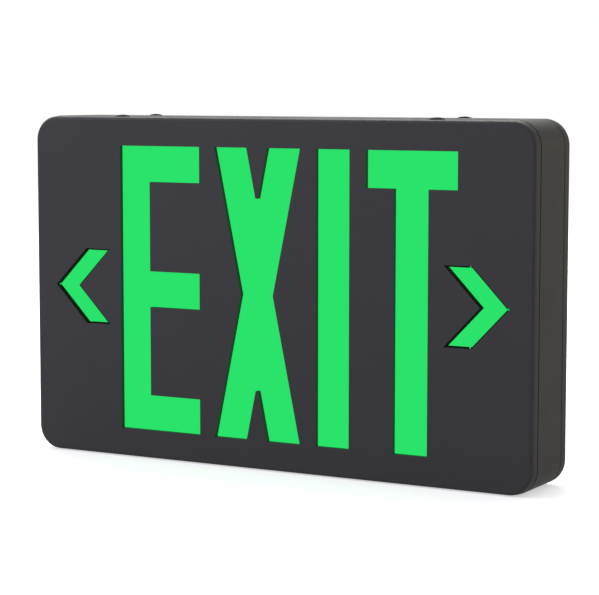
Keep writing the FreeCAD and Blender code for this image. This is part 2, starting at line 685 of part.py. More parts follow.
def capacitors():
    return Part.Compound([rod_y(x, z, CAPACITOR_DIA, BOARD_Y1, BOARD_Y1 + CAPACITOR_LENGTH)
                          for x, z in CAPACITOR_PLACES])


def fuse_link():
    x, z = FUSE_PLACE
    return rod_x(BOARD_Y1 + FUSE_RISE, z, FUSE_DIA, x - FUSE_LENGTH / 2, x + FUSE_LENGTH / 2)


def fuse_clips():
    """Spring saddles with a square seat round each end of the fuse."""
    x, z = FUSE_PLACE
    y = BOARD_Y1 + FUSE_RISE
    seat = FUSE_DIA + 2 * FUSE_CLIP_GAP
    clips = []
    for s in (-1, 1):
        middle = x + s * (FUSE_LENGTH - FUSE_CLIP_LENGTH) / 2
        clip = centred(middle, z, FUSE_CLIP_LENGTH, seat + 2 * FUSE_CLIP_WALL, BOARD_Y1, y + FUSE_DIA / 4)
        clips.append(clip.cut(centred(middle, z, FUSE_CLIP_LENGTH + 1, seat, y - seat / 2, y + seat)))
    return Part.Compound(clips)


def terminal_block():
    width = TERMINAL_WAYS * TERMINAL_PITCH
    top = BOARD_BOTTOM + BOARD_HEIGHT
    z = top - TERMINAL_HEIGHT / 2
    case = centred(TERMINAL_X, z, width, TERMINAL_HEIGHT, BOARD_Y1, BOARD_Y1 + TERMINAL_RISE)
    cuts = []
    for i in range(TERMINAL_WAYS):
        x = TERMINAL_X + (i - (TERMINAL_WAYS - 1) / 2) * TERMINAL_PITCH
        y = BOARD_Y1 + TERMINAL_ENTRY / 2 + 1
        cuts.append(block(x - TERMINAL_ENTRY / 2, x + TERMINAL_ENTRY / 2, y - TERMINAL_ENTRY / 2,
                          y + TERMINAL_ENTRY / 2, top - TERMINAL_ENTRY_DEPTH, top + 1))
        cuts.append(centred(x, z, TERMINAL_RELEASE, TERMINAL_RELEASE,
                            BOARD_Y1 + TERMINAL_RISE - TERMINAL_RELEASE_DEPTH, BOARD_Y1 + TERMINAL_RISE + 1))
    return case.cut(cuts)


def socket():
    """Header on the plane y = 0 with its mouth open at z = 0, upwards."""
    half = SOCKET_WIDTH / 2
    w = SOCKET_WALL
    case = block(-half, half, 0, SOCKET_RISE, -SOCKET_DEPTH, 0)
    return case.cut(block(-half + w, half - w, w, SOCKET_RISE - w, -SOCKET_DEPTH + w, 1))


def plug():
    """Plug for the socket: a tongue in its mouth under a wider head."""
    half = SOCKET_WIDTH / 2
    w = SOCKET_WALL + PLUG_GAP
    tongue_part = block(-half + w, half - w, w, SOCKET_RISE - w, -SOCKET_DEPTH + w, 0)
    head = block(-half + w / 2, half - w / 2, w / 2, SOCKET_RISE - w / 2, 0, PLUG_REACH)
    return fuse(tongue_part, head)


def at_lamp_sockets(shape):
    top = BOARD_BOTTOM + BOARD_HEIGHT
    return Part.Compound([shape.translated(V(x, BOARD_Y1, top)) for x in LAMP_SOCKETS_X])


def at_battery_socket(shape):
    turned = shape.copy()
    turned.rotate(V(0, 0, 0), V(0, 1, 0), -90)
    return turned.translated(V(BOARD_LEFT, BOARD_Y1, BATTERY_SOCKET_Z))


# ---------------------------------------------------------------- test button and charge lamp
def test_button():
    cap = rod_z(BUTTON_X, BUTTON_Y, BUTTON_DIA, BUTTON_SINK, FLANGE_Z + BUTTON_FLANGE_THICK)
    cap = cap.makeChamfer(BUTTON_EDGE, [e for e in cap.Edges if e.BoundBox.ZMax < BUTTON_SINK + 1e-6])
    flange_top = FLANGE_Z + BUTTON_FLANGE_THICK
    flange = rod_z(BUTTON_X, BUTTON_Y, BUTTON_FLANGE_DIA, FLANGE_Z, flange_top)
    stem = rod_z(BUTTON_X, BUTTON_Y, STEM_DIA, flange_top, flange_top + STEM_LENGTH)
    return fuse(cap, flange, stem)


def test_switch():
    half = SWITCH_SIZE / 2
    body = block(BUTTON_X - half, BUTTON_X + half, BOARD_Y1, BOARD_Y1 + SWITCH_SIZE,
                 SWITCH_Z, SWITCH_Z + SWITCH_HEIGHT)
    bore_top = FLANGE_Z + BUTTON_FLANGE_THICK + STEM_LENGTH + BUTTON_TRAVEL + SWITCH_GAP / 2
    return body.cut(rod_z(BUTTON_X, BUTTON_Y, STEM_DIA + 2 * STEM_FIT, SWITCH_Z - 1, bore_top))


def charge_lamp():
    body = rod_z(INDICATOR_X, BUTTON_Y, INDICATOR_DIA, BUTTON_SINK, INDICATOR_Z)
    return body.makeChamfer(BUTTON_EDGE, [e for e in body.Edges if e.BoundBox.ZMax < BUTTON_SINK + 1e-6])


def charge_lamp_holder():
    half = INDICATOR_HOLDER / 2
    return block(INDICATOR_X - half, INDICATOR_X + half, BOARD_Y1, BUTTON_Y + INDICATOR_DIA / 2,
                 INDICATOR_Z, INDICATOR_Z + INDICATOR_HOLDER)


# ---------------------------------------------------------------- battery
def battery_pack():
    y = TRAY_Y2 + CRADLE_BASE + CELL_DIA / 2
    x0 = BATTERY_X - CELL_LENGTH / 2
    x1 = BATTERY_X + CELL_LENGTH / 2
    span = (CELL_COUNT - 1) * CELL_DIA
    rows = [BATTERY_Z - span / 2 + i * CELL_DIA for i in range(CELL_COUNT)]
    sleeve = block(x0, x1, y - SLEEVE_FILL / 2, y + SLEEVE_FILL / 2, rows[0], rows[-1])
    return fuse(sleeve, *[rod_x(y, z, CELL_DIA, x0, x1) for z in rows])


def peg_places():
    return [(BATTERY_X + s * CRADLE_ARM_PITCH / 2, BATTERY_Z + s * CELL_DIA / 2) for s in (-1, 1)]


def battery_cradle():
    y0 = TRAY_Y2
    y1 = y0 + CRADLE_BASE
    reach = CELL_COUNT * CELL_DIA / 2 + CRADLE_FIT
    outer = reach + CRADLE_ARM
    tip = y1 + CELL_DIA
    pieces = []
    for s in (-1, 1):
        for x in (BATTERY_X - CRADLE_ARM_PITCH / 2, BATTERY_X + CRADLE_ARM_PITCH / 2):
            z = BATTERY_Z + s * (reach + CRADLE_ARM / 2)
            pieces.append(centred(x, z, CRADLE_ARM_WIDTH, CRADLE_ARM, y0, tip))
            bead_z = BATTERY_Z + s * (reach - CRADLE_BEAD / 2)
            pieces.append(centred(x, bead_z, CRADLE_ARM_WIDTH, CRADLE_BEAD, tip - CRADLE_ARM, tip))
    base = centred(BATTERY_X, BATTERY_Z, CRADLE_ARM_PITCH + CRADLE_ARM_WIDTH, 2 * outer, y0, y1)
    pegs = [centred(x, z, CRADLE_PEG, CRADLE_PEG, TRAY_Y1, y0 + CRADLE_BASE / 2) for x, z in peg_places()]
    return fuse(base, *pieces, *pegs)


# ---------------------------------------------------------------- leads
def lamp_leads():
    """A jacketed pair from each lamp board, through the tray, down to its plug."""
    plug_z = BOARD_BOTTOM + BOARD_HEIGHT + PLUG_REACH
    low = MID_Z - LAMP_BOARD_OFFSET
    high = MID_Z + LAMP_BOARD_OFFSET
    left, right = LAMP_SOCKETS_X
    lower = lead([(-LEAD_HOLE_X, TRAY_Y1, low), (-LEAD_HOLE_X, PLUG_Y, low), (-LEAD_HOLE_X, PLUG_Y, HARNESS_Z),
                  (left, PLUG_Y, HARNESS_Z), (left, PLUG_Y, plug_z)])
    upper = lead([(LEAD_HOLE_X, TRAY_Y1, high), (LEAD_HOLE_X, PLUG_Y, high),
                  (LEAD_HOLE_X, PLUG_Y, (high + HARNESS_Z) / 2), (right, PLUG_Y, HARNESS_Z + 2 * LEAD_BEND),
                  (right, PLUG_Y, plug_z)])
    return Part.Compound([lower, upper])


def battery_leads():
    """A jacketed pair from the end of the pack to its plug."""
    x0 = BATTERY_X + CELL_LENGTH / 2
    x1 = BOARD_LEFT - PLUG_REACH
    run = (x1 - x0) / 3
    z0 = BATTERY_Z - CELL_DIA / 3
    return lead([V(x0, PLUG_Y, z0), V(x0 + run, PLUG_Y, z0), V(x1 - run, PLUG_Y, BATTERY_SOCKET_Z),
                 V(x1, PLUG_Y, BATTERY_SOCKET_Z)])


# ---------------------------------------------------------------- files
NODES = {
    "front_cover": front_cover(),
    "green_lens": green_lens(),
    "back_cover": back_cover(),
    "housing_frame": housing_frame(),
    "light_tray": light_tray(),
    "tray_screws": tray_screws(),
    "lamp_board_lower": lamp_board(-1),
    "lamp_board_upper": lamp_board(1),
    "lamps_lower": lamps(-1),
    "lamps_upper": lamps(1),
    "control_board": control_board(),
    "board_screws": board_screws(),
    "transformer_core": transformer_core(),
    "transformer_coil": transformer_coil(),
    "capacitors": capacitors(),
    "relay": on_board(RELAY_PLACE, RELAY_SIZE),
    "charger_chip": on_board(CHIP_PLACE, CHIP_SIZE),
    "fuse_link": fuse_link(),
    "fuse_clips": fuse_clips(),
    "terminal_block": terminal_block(),
    "lamp_sockets": at_lamp_sockets(socket()),
    "lamp_plugs": at_lamp_sockets(plug()),
    "battery_socket": at_battery_socket(socket()),
    "battery_plug": at_battery_socket(plug()),
    "test_switch": test_switch(),
    "test_button": test_button(),
    "charge_lamp": charge_lamp(),
    "charge_lamp_holder": charge_lamp_holder(),
    "battery_pack": battery_pack(),
    "battery_cradle": battery_cradle(),
    "battery_leads": battery_leads(),
    "lamp_leads": lamp_leads(),
}

os.makedirs("parts", exist_ok=True)
for name, shape in NODES.items():
    shape.exportStep("parts/" + name + ".step")
    size = shape.BoundBox
    print("%-20s %2d solids %10.1f mm3  valid %s  x %.1f %.1f  y %.1f %.1f  z %.1f %.1f" % (
        name, len(shape.Solids), shape.Volume, shape.isValid(),
        size.XMin, size.XMax, size.YMin, size.YMax, size.ZMin, size.ZMax))
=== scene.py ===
# %% [markdown]
# # An emergency exit light, dressed for its portrait
# The light is a shallow box of black moulded plastic.  Its front cover has the legend and
# two arrows cut through it, and a lit green lens shows behind them.  Inside are a white
# light tray, two lamp boards, a control board and a battery.
# The solid model already gives every piece its size and place.  This lesson gives each
# piece its finish, cuts the legend, and makes the small parts that the solids leave plain.

# %% Load the solid model as a fixed frame
import json
import math
import bmesh
import bpy
from mathutils import Matrix, Vector

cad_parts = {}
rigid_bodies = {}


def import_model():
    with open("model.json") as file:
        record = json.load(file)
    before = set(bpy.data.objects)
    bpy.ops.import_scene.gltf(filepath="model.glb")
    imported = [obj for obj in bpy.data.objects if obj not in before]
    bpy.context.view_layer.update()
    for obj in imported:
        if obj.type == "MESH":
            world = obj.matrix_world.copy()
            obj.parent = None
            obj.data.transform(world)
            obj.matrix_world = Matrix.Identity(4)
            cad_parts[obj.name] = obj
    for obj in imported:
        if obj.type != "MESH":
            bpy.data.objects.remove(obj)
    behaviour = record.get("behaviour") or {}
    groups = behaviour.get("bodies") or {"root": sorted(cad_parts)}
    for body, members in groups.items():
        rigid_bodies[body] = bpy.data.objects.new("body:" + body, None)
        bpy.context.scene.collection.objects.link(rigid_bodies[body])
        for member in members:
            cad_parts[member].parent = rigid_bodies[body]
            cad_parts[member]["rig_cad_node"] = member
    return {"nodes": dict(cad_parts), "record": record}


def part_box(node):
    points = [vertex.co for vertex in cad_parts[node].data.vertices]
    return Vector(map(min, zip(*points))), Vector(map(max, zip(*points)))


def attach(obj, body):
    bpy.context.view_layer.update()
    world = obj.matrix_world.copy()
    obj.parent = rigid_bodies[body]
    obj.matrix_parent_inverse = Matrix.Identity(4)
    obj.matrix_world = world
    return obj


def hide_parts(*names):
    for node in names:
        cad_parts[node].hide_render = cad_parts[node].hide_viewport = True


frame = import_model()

for leftover in [o for o in bpy.data.objects if "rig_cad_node" not in o and not o.name.startswith("body:")]:
    bpy.data.objects.remove(leftover)
bpy.context.view_layer.update()
MM = 0.001

# %% [markdown]
# ## Where things are
# The places of most pieces come from the solid model, so a change of size there moves
# the dressing too.  The face of the front cover is its lowest Y, because the light looks
# along -Y.  The legend is set out from the middle of the face, as a sign maker would do
# it, and the routes of the leads are chosen.

# %% Read the places that the dressing needs
def middle_of(low, high):
    """The middle of a box between its lowest and highest corner."""
    return (low + high) / 2


FACE_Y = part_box("front_cover")[0].y
LENS_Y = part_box("green_lens")[0].y
MIDDLE = middle_of(*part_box("housing_frame"))
MIDDLE.y = FACE_Y
print("face at", round(FACE_Y / MM, 2), "lens at", round(LENS_Y / MM, 2), "middle", MIDDLE[:])

# %% [markdown]
# ## Camera
# The portrait is taken with a long lens from about a metre away, from the right and a
# little above.  The camera is set out by its place and its three axes, which is exact,
# where an aim constraint would leave the roll to chance.

# %% Set up the camera
camera_data = bpy.data.cameras.new("portrait_camera")
camera_data.sensor_fit = "HORIZONTAL"
camera_data.sensor_width = 36.0
camera_data.lens = 123.78
camera_data.clip_start = 0.05
camera_data.clip_end = 60.0
camera = bpy.data.objects.new("portrait_camera", camera_data)
bpy.context.scene.collection.objects.link(camera)
camera_right = Vector((0.87157, 0.49026, 0.00056)).normalized()
camera_back = Vector((0.48765, -0.86704, 0.10215)).normalized()
camera_up = camera_back.cross(camera_right)
turn = Matrix((camera_right, camera_up, camera_back)).transposed().to_4x4()
camera_place = Vector((532.0, -935.1, 199.75)) * MM
camera.matrix_world = Matrix.Translation(camera_place) @ turn
bpy.context.scene.camera = camera
print("camera at", [round(c, 3) for c in camera.location], "lens", camera_data.lens)

# %% [markdown]
# ## Moulded grain
# A spark-eroded mould leaves a fine, even grain on plastic, and the pigment is never
# quite uniform.  Both could be painted, but a pattern worked out in space needs no
# picture, has no seams and stays at its true size.  It is a group with named inputs, so
# every plastic on this object shares it with values of its own.

# %% Helpers for node trees
def new_group(title, inputs, outputs):
    """An empty shader group with the named sockets, and its two end nodes."""
    group = bpy.data.node_groups.new(title, "ShaderNodeTree")
    for name, kind, value in inputs:
        socket = group.interface.new_socket(name=name, in_out="INPUT", socket_type=kind)
        socket.default_value = value
    for name, kind in outputs:
        group.interface.new_socket(name=name, in_out="OUTPUT", socket_type=kind)
    return group, group.nodes.new("NodeGroupInput"), group.nodes.new("NodeGroupOutput")


def set_or_join(tree, socket, value):
    """Sets a socket to a number, or joins another node's output to it."""
    if isinstance(value, (int, float)):
        socket.default_value = value
    else:
        tree.links.new(value, socket)


def math_node(tree, operation, first, second):
    """A Math node with its inputs joined or set, returning its output."""
    node = tree.nodes.new("ShaderNodeMath")
    node.operation = operation
    for socket, value in zip(node.inputs, (first, second)):
        set_or_join(tree, socket, value)
    return node.outputs[0]


def noise_node(tree, place, scale, detail):
    """Fractal noise at a number of cells per metre."""
    node = tree.nodes.new("ShaderNodeTexNoise")
    node.inputs["Detail"].default_value = detail
    tree.links.new(place, node.inputs["Vector"])
    set_or_join(tree, node.inputs["Scale"], scale)
    return node.outputs["Fac"]


def object_place(tree):
    """The place of the shaded point in the object's own metres."""
    return tree.nodes.new("ShaderNodeTexCoord").outputs["Object"]


def bump_of(tree, height, distance):
    """The normal of a surface that rises with a height from 0 to 1 over a distance."""
    bump = tree.nodes.new("ShaderNodeBump")
    set_or_join(tree, bump.inputs["Distance"], distance)
    tree.links.new(height, bump.inputs["Height"])
    return bump.outputs[0]


print("node helpers ready")

# %% Build the grain group
GRAIN_CELLS = 2200.0
GRAIN_DEPTH = 0.03 * MM
GRAIN_MOTTLE = 0.1
CLOUD_CELLS = 38.0  # to a metre, as the cells of the grain are
CLOUD_SHEEN = 0.14  # how far the cloud shifts the roughness


def build_grain():
    """Fine grain in the normal, with a soft cloud in the colour and the gloss."""
    group, entry, leave = new_group("moulded_grain", [
        ("Colour", "NodeSocketColor", (0.5, 0.5, 0.5, 1.0)),
        ("Cells per metre", "NodeSocketFloat", GRAIN_CELLS),
        ("Depth", "NodeSocketFloat", GRAIN_DEPTH),
        ("Mottle", "NodeSocketFloat", GRAIN_MOTTLE),
        ("Roughness", "NodeSocketFloat", 0.5),
    ], [("Colour", "NodeSocketColor"), ("Roughness", "NodeSocketFloat"), ("Normal", "NodeSocketVector")])
    join = group.links.new
    place = object_place(group)
    grain = noise_node(group, place, entry.outputs["Cells per metre"], 2.0)
    cloud = noise_node(group, place, CLOUD_CELLS, 3.0)
    both = math_node(group, "ADD", math_node(group, "MULTIPLY", grain, 0.55),
                     math_node(group, "MULTIPLY", cloud, 0.45))
    swing = math_node(group, "MULTIPLY", math_node(group, "SUBTRACT", both, 0.5), entry.outputs["Mottle"])
    gain = math_node(group, "ADD", 1.0, swing)
    tint = group.nodes.new("ShaderNodeVectorMath")
    tint.operation = "SCALE"
    join(entry.outputs["Colour"], tint.inputs[0])
    join(gain, tint.inputs["Scale"])
    join(tint.outputs[0], leave.inputs["Colour"])
    sheen = math_node(group, "MULTIPLY", math_node(group, "SUBTRACT", cloud, 0.5), CLOUD_SHEEN)
    join(math_node(group, "ADD", entry.outputs["Roughness"], sheen), leave.inputs["Roughness"])
    join(bump_of(group, grain, entry.outputs["Depth"]), leave.inputs["Normal"])
    return group


grain_group = build_grain()
print("group", grain_group.name, [s.name for s in grain_group.interface.items_tree])

# %% [markdown]
# ## Plastics
# Nearly everything here is moulded plastic: black covers, a white tray, coloured cases.
# One maker sets colour, grain and gloss, and the shader keeps plain numbers on its own
# sockets, so that each finish can be read at a glance.

# %% A maker for grained plastic
def new_material(title):
    """A new material with its node tree and its shader."""
    material = bpy.data.materials.new(title)
    material.use_nodes = True
    tree = material.node_tree
    shader = tree.nodes["Principled BSDF"]
    return material, tree, shader


def lay_grain(tree, shader, into, colour, roughness, cells, depth, mottle):
    """Places the grain group before the shader, with its colour led into the named socket."""
    grain = tree.nodes.new("ShaderNodeGroup")
    grain.node_tree = grain_group
    values = {"Colour": (*colour, 1.0), "Cells per metre": cells, "Depth": depth, "Mottle": mottle,
              "Roughness": roughness}
    for name, value in values.items():
        grain.inputs[name].default_value = value
    for name, socket in (("Colour", into), ("Roughness", "Roughness"), ("Normal", "Normal")):
        tree.links.new(grain.outputs[name], shader.inputs[socket])


def plastic(title, colour, roughness, cells=GRAIN_CELLS, depth=GRAIN_DEPTH, mottle=GRAIN_MOTTLE,
            gloss=0.5, coat=0.0):
    """Moulded plastic: its colour, how matt it is, and the size and depth of its grain."""
    material, tree, shader = new_material(title)
    lay_grain(tree, shader, "Base Color", colour, roughness, cells, depth, mottle)
    shader.inputs["Specular IOR Level"].default_value = gloss
    shader.inputs["Coat Weight"].default_value = coat
    shader.inputs["Coat Roughness"].default_value = 0.12
    return material


print("plastic maker ready")

# %% Make the plastics
finishes = {}
SATIN = {"depth": 0.02 * MM, "mottle": 0.12, "gloss": 0.4}
# The face's cooler tint and the case's warmer tint are painted tints of the cool front light and the warm
# side light on what is one black plastic
for title, colour, roughness, more in (
        ("face_plastic", (0.0274, 0.0254, 0.0292), 0.52, SATIN),
        ("case_plastic", (0.0250, 0.0232, 0.0204), 0.52, SATIN),
        ("white_plastic", (0.80, 0.80, 0.775), 0.42, {"cells": 1500.0, "mottle": 0.04}),
        ("relay_case", (0.012, 0.075, 0.30), 0.3, {"mottle": 0.06}),
        ("chip_resin", (0.018, 0.018, 0.019), 0.55, {"cells": 4000.0, "mottle": 0.2}),
        ("terminal_plastic", (0.03, 0.24, 0.09), 0.38, {"mottle": 0.06}),
        ("button_plastic", (0.50, 0.018, 0.018), 0.28, {"depth": 0.01 * MM, "mottle": 0.05}),
        ("lead_jacket", (0.50, 0.022, 0.018), 0.42, {"cells": 900.0, "mottle": 0.08}),
        ("can_sleeve", (0.018, 0.024, 0.07), 0.25, {"mottle": 0.08, "coat": 0.3}),
        ("battery_sleeve", (0.018, 0.09, 0.36), 0.24, {"cells": 300.0, "depth": 0.12 * MM, "coat": 0.4}),
        ("coil_tape", (0.66, 0.47, 0.06), 0.35, {"cells": 500.0, "depth": 0.1 * MM})):
    finishes[title] = plastic(title, colour, roughness, **more)
print("plastics", len(finishes))

# %% [markdown]
# ## The lit lens
# The green lens is a translucent panel lit from behind by two rows of lamps.  Light
# through a real panel could be traced, but that is slow and grainy.  The panel spreads
# it so evenly that its own glow is enough, with a trace of the lamps' unevenness.

# %% A maker for lit panels
def lit_panel(title, glow, body, unevenness):
    """A panel that shines by itself, a little uneven, over a darker body colour."""
    material, tree, shader = new_material(title)
    lay_grain(tree, shader, "Emission Color", glow, 0.4, 700.0, GRAIN_DEPTH, unevenness)
    shader.inputs["Base Color"].default_value = (*body, 1.0)
    shader.inputs["Emission Strength"].default_value = 1.0
    shader.inputs["Specular IOR Level"].default_value = 0.0
    return material


finishes["green_lens"] = lit_panel("green_lens", (0.0225, 0.765, 0.146), (0.0005, 0.004, 0.001), 0.02)
finishes["lamp_resin"] = lit_panel("lamp_resin", (0.55, 1.0, 0.45), (0.6, 0.7, 0.3), 0.1)
print("finishes with the lit ones", len(finishes))

# %% [markdown]
# ## Boards, metals and glass
# A circuit board is a woven laminate under a thin mask, so its gloss is crossed by a
# faint weave of glass threads.  Plated screws, the core of the transformer and the
# clips are metal with a brushed or stamped surface.

# %% A maker for boards
BAND = math.pi / 10  # scale of a Wave texture with one band to a metre


def banded(tree, direction, pitch):
    """A Wave texture whose bands lie across a direction, one to every pitch."""
    wave = tree.nodes.new("ShaderNodeTexWave")
    wave.bands_direction = direction
    wave.inputs["Scale"].default_value = BAND / pitch
    tree.links.new(object_place(tree), wave.inputs["Vector"])
    return wave


def blend(tree, factor, first, second):
    """A colour between two colours by a factor."""
    mix = tree.nodes.new("ShaderNodeMix")
    mix.data_type = "RGBA"
    mix.inputs["A"].default_value = (*first, 1.0)
    mix.inputs["B"].default_value = (*second, 1.0)
    tree.links.new(factor, mix.inputs["Factor"])
    return mix.outputs["Result"]


def board(title, mask, thread, pitch):
    """Solder mask over woven glass, whose threads show as a faint square weave."""
    material, tree, shader = new_material(title)
    weave = 0.0
    for direction in ("X", "Z"):
        wave = banded(tree, direction, pitch)
        wave.inputs["Distortion"].default_value = 1.5
        wave.inputs["Detail Scale"].default_value = 2.0
        weave = math_node(tree, "ADD", weave, wave.outputs["Fac"])
    cloud = noise_node(tree, object_place(tree), 60.0, 3.0)
    mixed = math_node(tree, "ADD", math_node(tree, "MULTIPLY", weave, 0.25),
                      math_node(tree, "MULTIPLY", cloud, 0.5))
    tree.links.new(blend(tree, mixed, mask, thread), shader.inputs["Base Color"])
    tree.links.new(bump_of(tree, weave, 0.03 * MM), shader.inputs["Normal"])
    shader.inputs["Roughness"].default_value = 0.34
    return material


finishes["green_board"] = board("green_board", (0.006, 0.095, 0.032), (0.016, 0.17, 0.06), 0.7 * MM)
finishes["white_board"] = board("white_board", (0.76, 0.77, 0.73), (0.68, 0.69, 0.65), 0.9 * MM)
print("boards woven")

# %% Make the metals and the glass
SCRATCHES = 900.0  # to a metre
SCRATCH_SHEEN = 0.3  # how far they shift the roughness
WORN = 0.88  # how bright the metal is between them


def metal(title, colour, roughness):
    """Worked metal with fine scratches that change its gloss."""
    material, tree, shader = new_material(title)
    scratches = noise_node(tree, object_place(tree), SCRATCHES, 4.0)
    swing = math_node(tree, "MULTIPLY", math_node(tree, "SUBTRACT", scratches, 0.5), SCRATCH_SHEEN)
    tree.links.new(math_node(tree, "ADD", swing, roughness), shader.inputs["Roughness"])
    worn = [WORN * c for c in colour]
    tree.links.new(blend(tree, scratches, worn, colour), shader.inputs["Base Color"])
    shader.inputs["Metallic"].default_value = 1.0
    return material


def laminated(material, sheet):
    """Lays the edges of stacked sheets across a metal."""
    tree = material.node_tree
    edges = banded(tree, "Y", sheet).outputs["Fac"]
    tree.links.new(bump_of(tree, edges, 0.12 * MM), tree.nodes["Principled BSDF"].inputs["Normal"])
    return material


finishes["zinc_steel"] = metal("zinc_steel", (0.62, 0.62, 0.60), 0.32)
finishes["core_steel"] = laminated(metal("core_steel", (0.26, 0.26, 0.27), 0.42), 0.5 * MM)
finishes["tinned_brass"] = metal("tinned_brass", (0.66, 0.62, 0.50), 0.3)
finishes["fuse_glass"] = plastic("fuse_glass", (0.94, 0.96, 0.95), 0.05, depth=0.0, mottle=0.02)
finishes["fuse_glass"].node_tree.nodes["Principled BSDF"].inputs["Transmission Weight"].default_value = 1.0
finishes["charge_lamp"] = plastic("charge_lamp", (0.55, 0.02, 0.015), 0.12, depth=0.0, mottle=0.04,
                                  coat=0.6)
print("finishes", len(finishes))

# %% [markdown]
# ## Dress the solid pieces
# The record names a finish for every piece of the solid model.  Following that list
# leaves no piece bare, and no piece gets a finish that its neighbours don't expect.

# %% Give every solid its finish
for subpart in frame["record"]["subparts"]:
    node = frame["nodes"][subpart["node"]]
    finish = finishes[subpart["material_slot"]]
    for place in node.material_slots:
        place.material = finish

# %% [markdown]
# ## The legend cut through the front cover
# On the real cover the letters are cored out in the mould, so their walls are square
# and the lens shows a wall's thickness behind the face.  Painted letters would lose
# that depth.  Each letter is drawn as one outline, drawn out into a cutter, and the
# cutters are taken away from a copy of the cover.

# %% Helpers for new pieces
MERGE = 1e-6  # metres within which two corners are one


def mesh_piece(title, shape, finish=None):
    """An object at the origin from a bmesh, with its finish."""
    mesh = bpy.data.meshes.new(title)
    shape.to_mesh(mesh)
    shape.free()
    piece = bpy.data.objects.new(title, mesh)
    bpy.context.scene.collection.objects.link(piece)
    if finish:
        mesh.materials.append(finishes[finish])
    return piece


def drawn_outline(shape, corners, front, back):
    """A closed prism in a bmesh: corners are x and z in metres, drawn along Y from front to back."""
    ring = [shape.verts.new((x, front, z)) for x, z in corners]
    face = shape.faces.new(ring)
    drawn = bmesh.ops.extrude_face_region(shape, geom=[face])
    moved = [v for v in drawn["geom"] if isinstance(v, bmesh.types.BMVert)]
    bmesh.ops.translate(shape, vec=(0.0, back - front, 0.0), verts=moved)
    bmesh.ops.recalc_face_normals(shape, faces=shape.faces)


def merged_copy(node, title):
    """A copy of a solid's mesh with its loose triangles joined."""
    shape = bmesh.new()
    shape.from_mesh(frame["nodes"][node].data)
    bmesh.ops.remove_doubles(shape, verts=shape.verts, dist=MERGE)
    return mesh_piece(title, shape)


print("piece helpers ready")

# %% Helpers for cuts and shading
def cut_away(piece, cutter):
    """Takes the cutter away from the piece and throws the cutter away."""
    cut = piece.modifiers.new("cut", "BOOLEAN")
    cut.operation = "DIFFERENCE"
    cut.solver = "EXACT"
    cut.object = cutter
    graph = bpy.context.evaluated_depsgraph_get()
    result = bpy.data.meshes.new_from_object(piece.evaluated_get(graph))
    piece.modifiers.clear()
    piece.data = result
    bpy.data.objects.remove(cutter)


def tidy_flats(piece):
    """Joins the triangles of each flat part into large faces."""
    shape = bmesh.new()
    shape.from_mesh(piece.data)
    bmesh.ops.remove_doubles(shape, verts=shape.verts, dist=MERGE)
    bmesh.ops.dissolve_limit(shape, angle_limit=math.radians(0.4), verts=shape.verts, edges=shape.edges)
    shape.to_mesh(piece.data)
    shape.free()


def smooth_to(piece, degrees):
    """Smooth shading that stops at sharper edges, with flat parts kept flat up to their rim."""
    mesh = piece.data
    mesh.polygons.foreach_set("use_smooth", [True] * len(mesh.polygons))
    mesh.set_sharp_from_angle(angle=math.radians(degrees))
    even = piece.modifiers.new("flat parts lead", "WEIGHTED_NORMAL")
    even.keep_sharp = True
    even.weight = 100


print("cut helpers ready")

# %% Draw the letters
LETTER_HALF = 76.2
STROKE = 19.05
MID_ARM = 9.6
E_LEFT, E_STEM, E_RIGHT = -92.2, -73.4, -42.4
X_MIDDLE, X_NOTCH = -7.5, 50.1
I_LEFT, I_RIGHT = 27.5, 46.6
T_LEFT, T_STEM_LEFT, T_STEM_RIGHT, T_RIGHT = 55.9, 71.65, 90.7, 106.5


def letter_outlines():
    """Outlines of the four letters, in millimetres from the middle of the face."""
    top = LETTER_HALF
    arm = LETTER_HALF - STROKE
    letter_e = [(E_LEFT, top), (E_RIGHT, top), (E_RIGHT, arm), (E_STEM, arm),
                (E_STEM, MID_ARM), (E_RIGHT, MID_ARM), (E_RIGHT, -MID_ARM), (E_STEM, -MID_ARM),
                (E_STEM, -arm), (E_RIGHT, -arm), (E_RIGHT, -top), (E_LEFT, -top)]
    half_x = [(0.75, X_NOTCH), (6.2, top), (25.6, top), (9.56, 0.0),
              (25.6, -top), (6.2, -top), (0.75, -X_NOTCH)]
    letter_x = [(side * x + X_MIDDLE, side * z) for side in (1, -1) for x, z in half_x]
    letter_i = [(I_LEFT, top), (I_RIGHT, top), (I_RIGHT, -top), (I_LEFT, -top)]
    letter_t = [(T_LEFT, top), (T_RIGHT, top), (T_RIGHT, arm), (T_STEM_RIGHT, arm), (T_STEM_RIGHT, -top),
                (T_STEM_LEFT, -top), (T_STEM_LEFT, arm), (T_LEFT, arm)]
    return [letter_e, letter_x, letter_i, letter_t]


print("letters", len(letter_outlines()), "of height", 2 * LETTER_HALF)

# %% Cut the letters through a copy of the cover
PAST_FACE = 2 * MM  # how far the cutter starts before the face
INTO_LENS = 0.8 * MM  # how far it ends behind the front of the lens
letters = bmesh.new()
for outline in letter_outlines():
    corners = [(MIDDLE.x + x * MM, MIDDLE.z + z * MM) for x, z in outline]
    drawn_outline(letters, corners, FACE_Y - PAST_FACE, LENS_Y + INTO_LENS)
legend_cutter = mesh_piece("legend_cutter", letters)
front_shell = merged_copy("front_cover", "front_shell")
cut_away(front_shell, legend_cutter)
tidy_flats(front_shell)
smooth_to(front_shell, 28)
front_shell.data.materials.clear()
front_shell.data.materials.append(finishes["face_plastic"])
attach(front_shell, "front_cover")
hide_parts("front_cover")
print("front shell", len(front_shell.data.polygons), "faces")
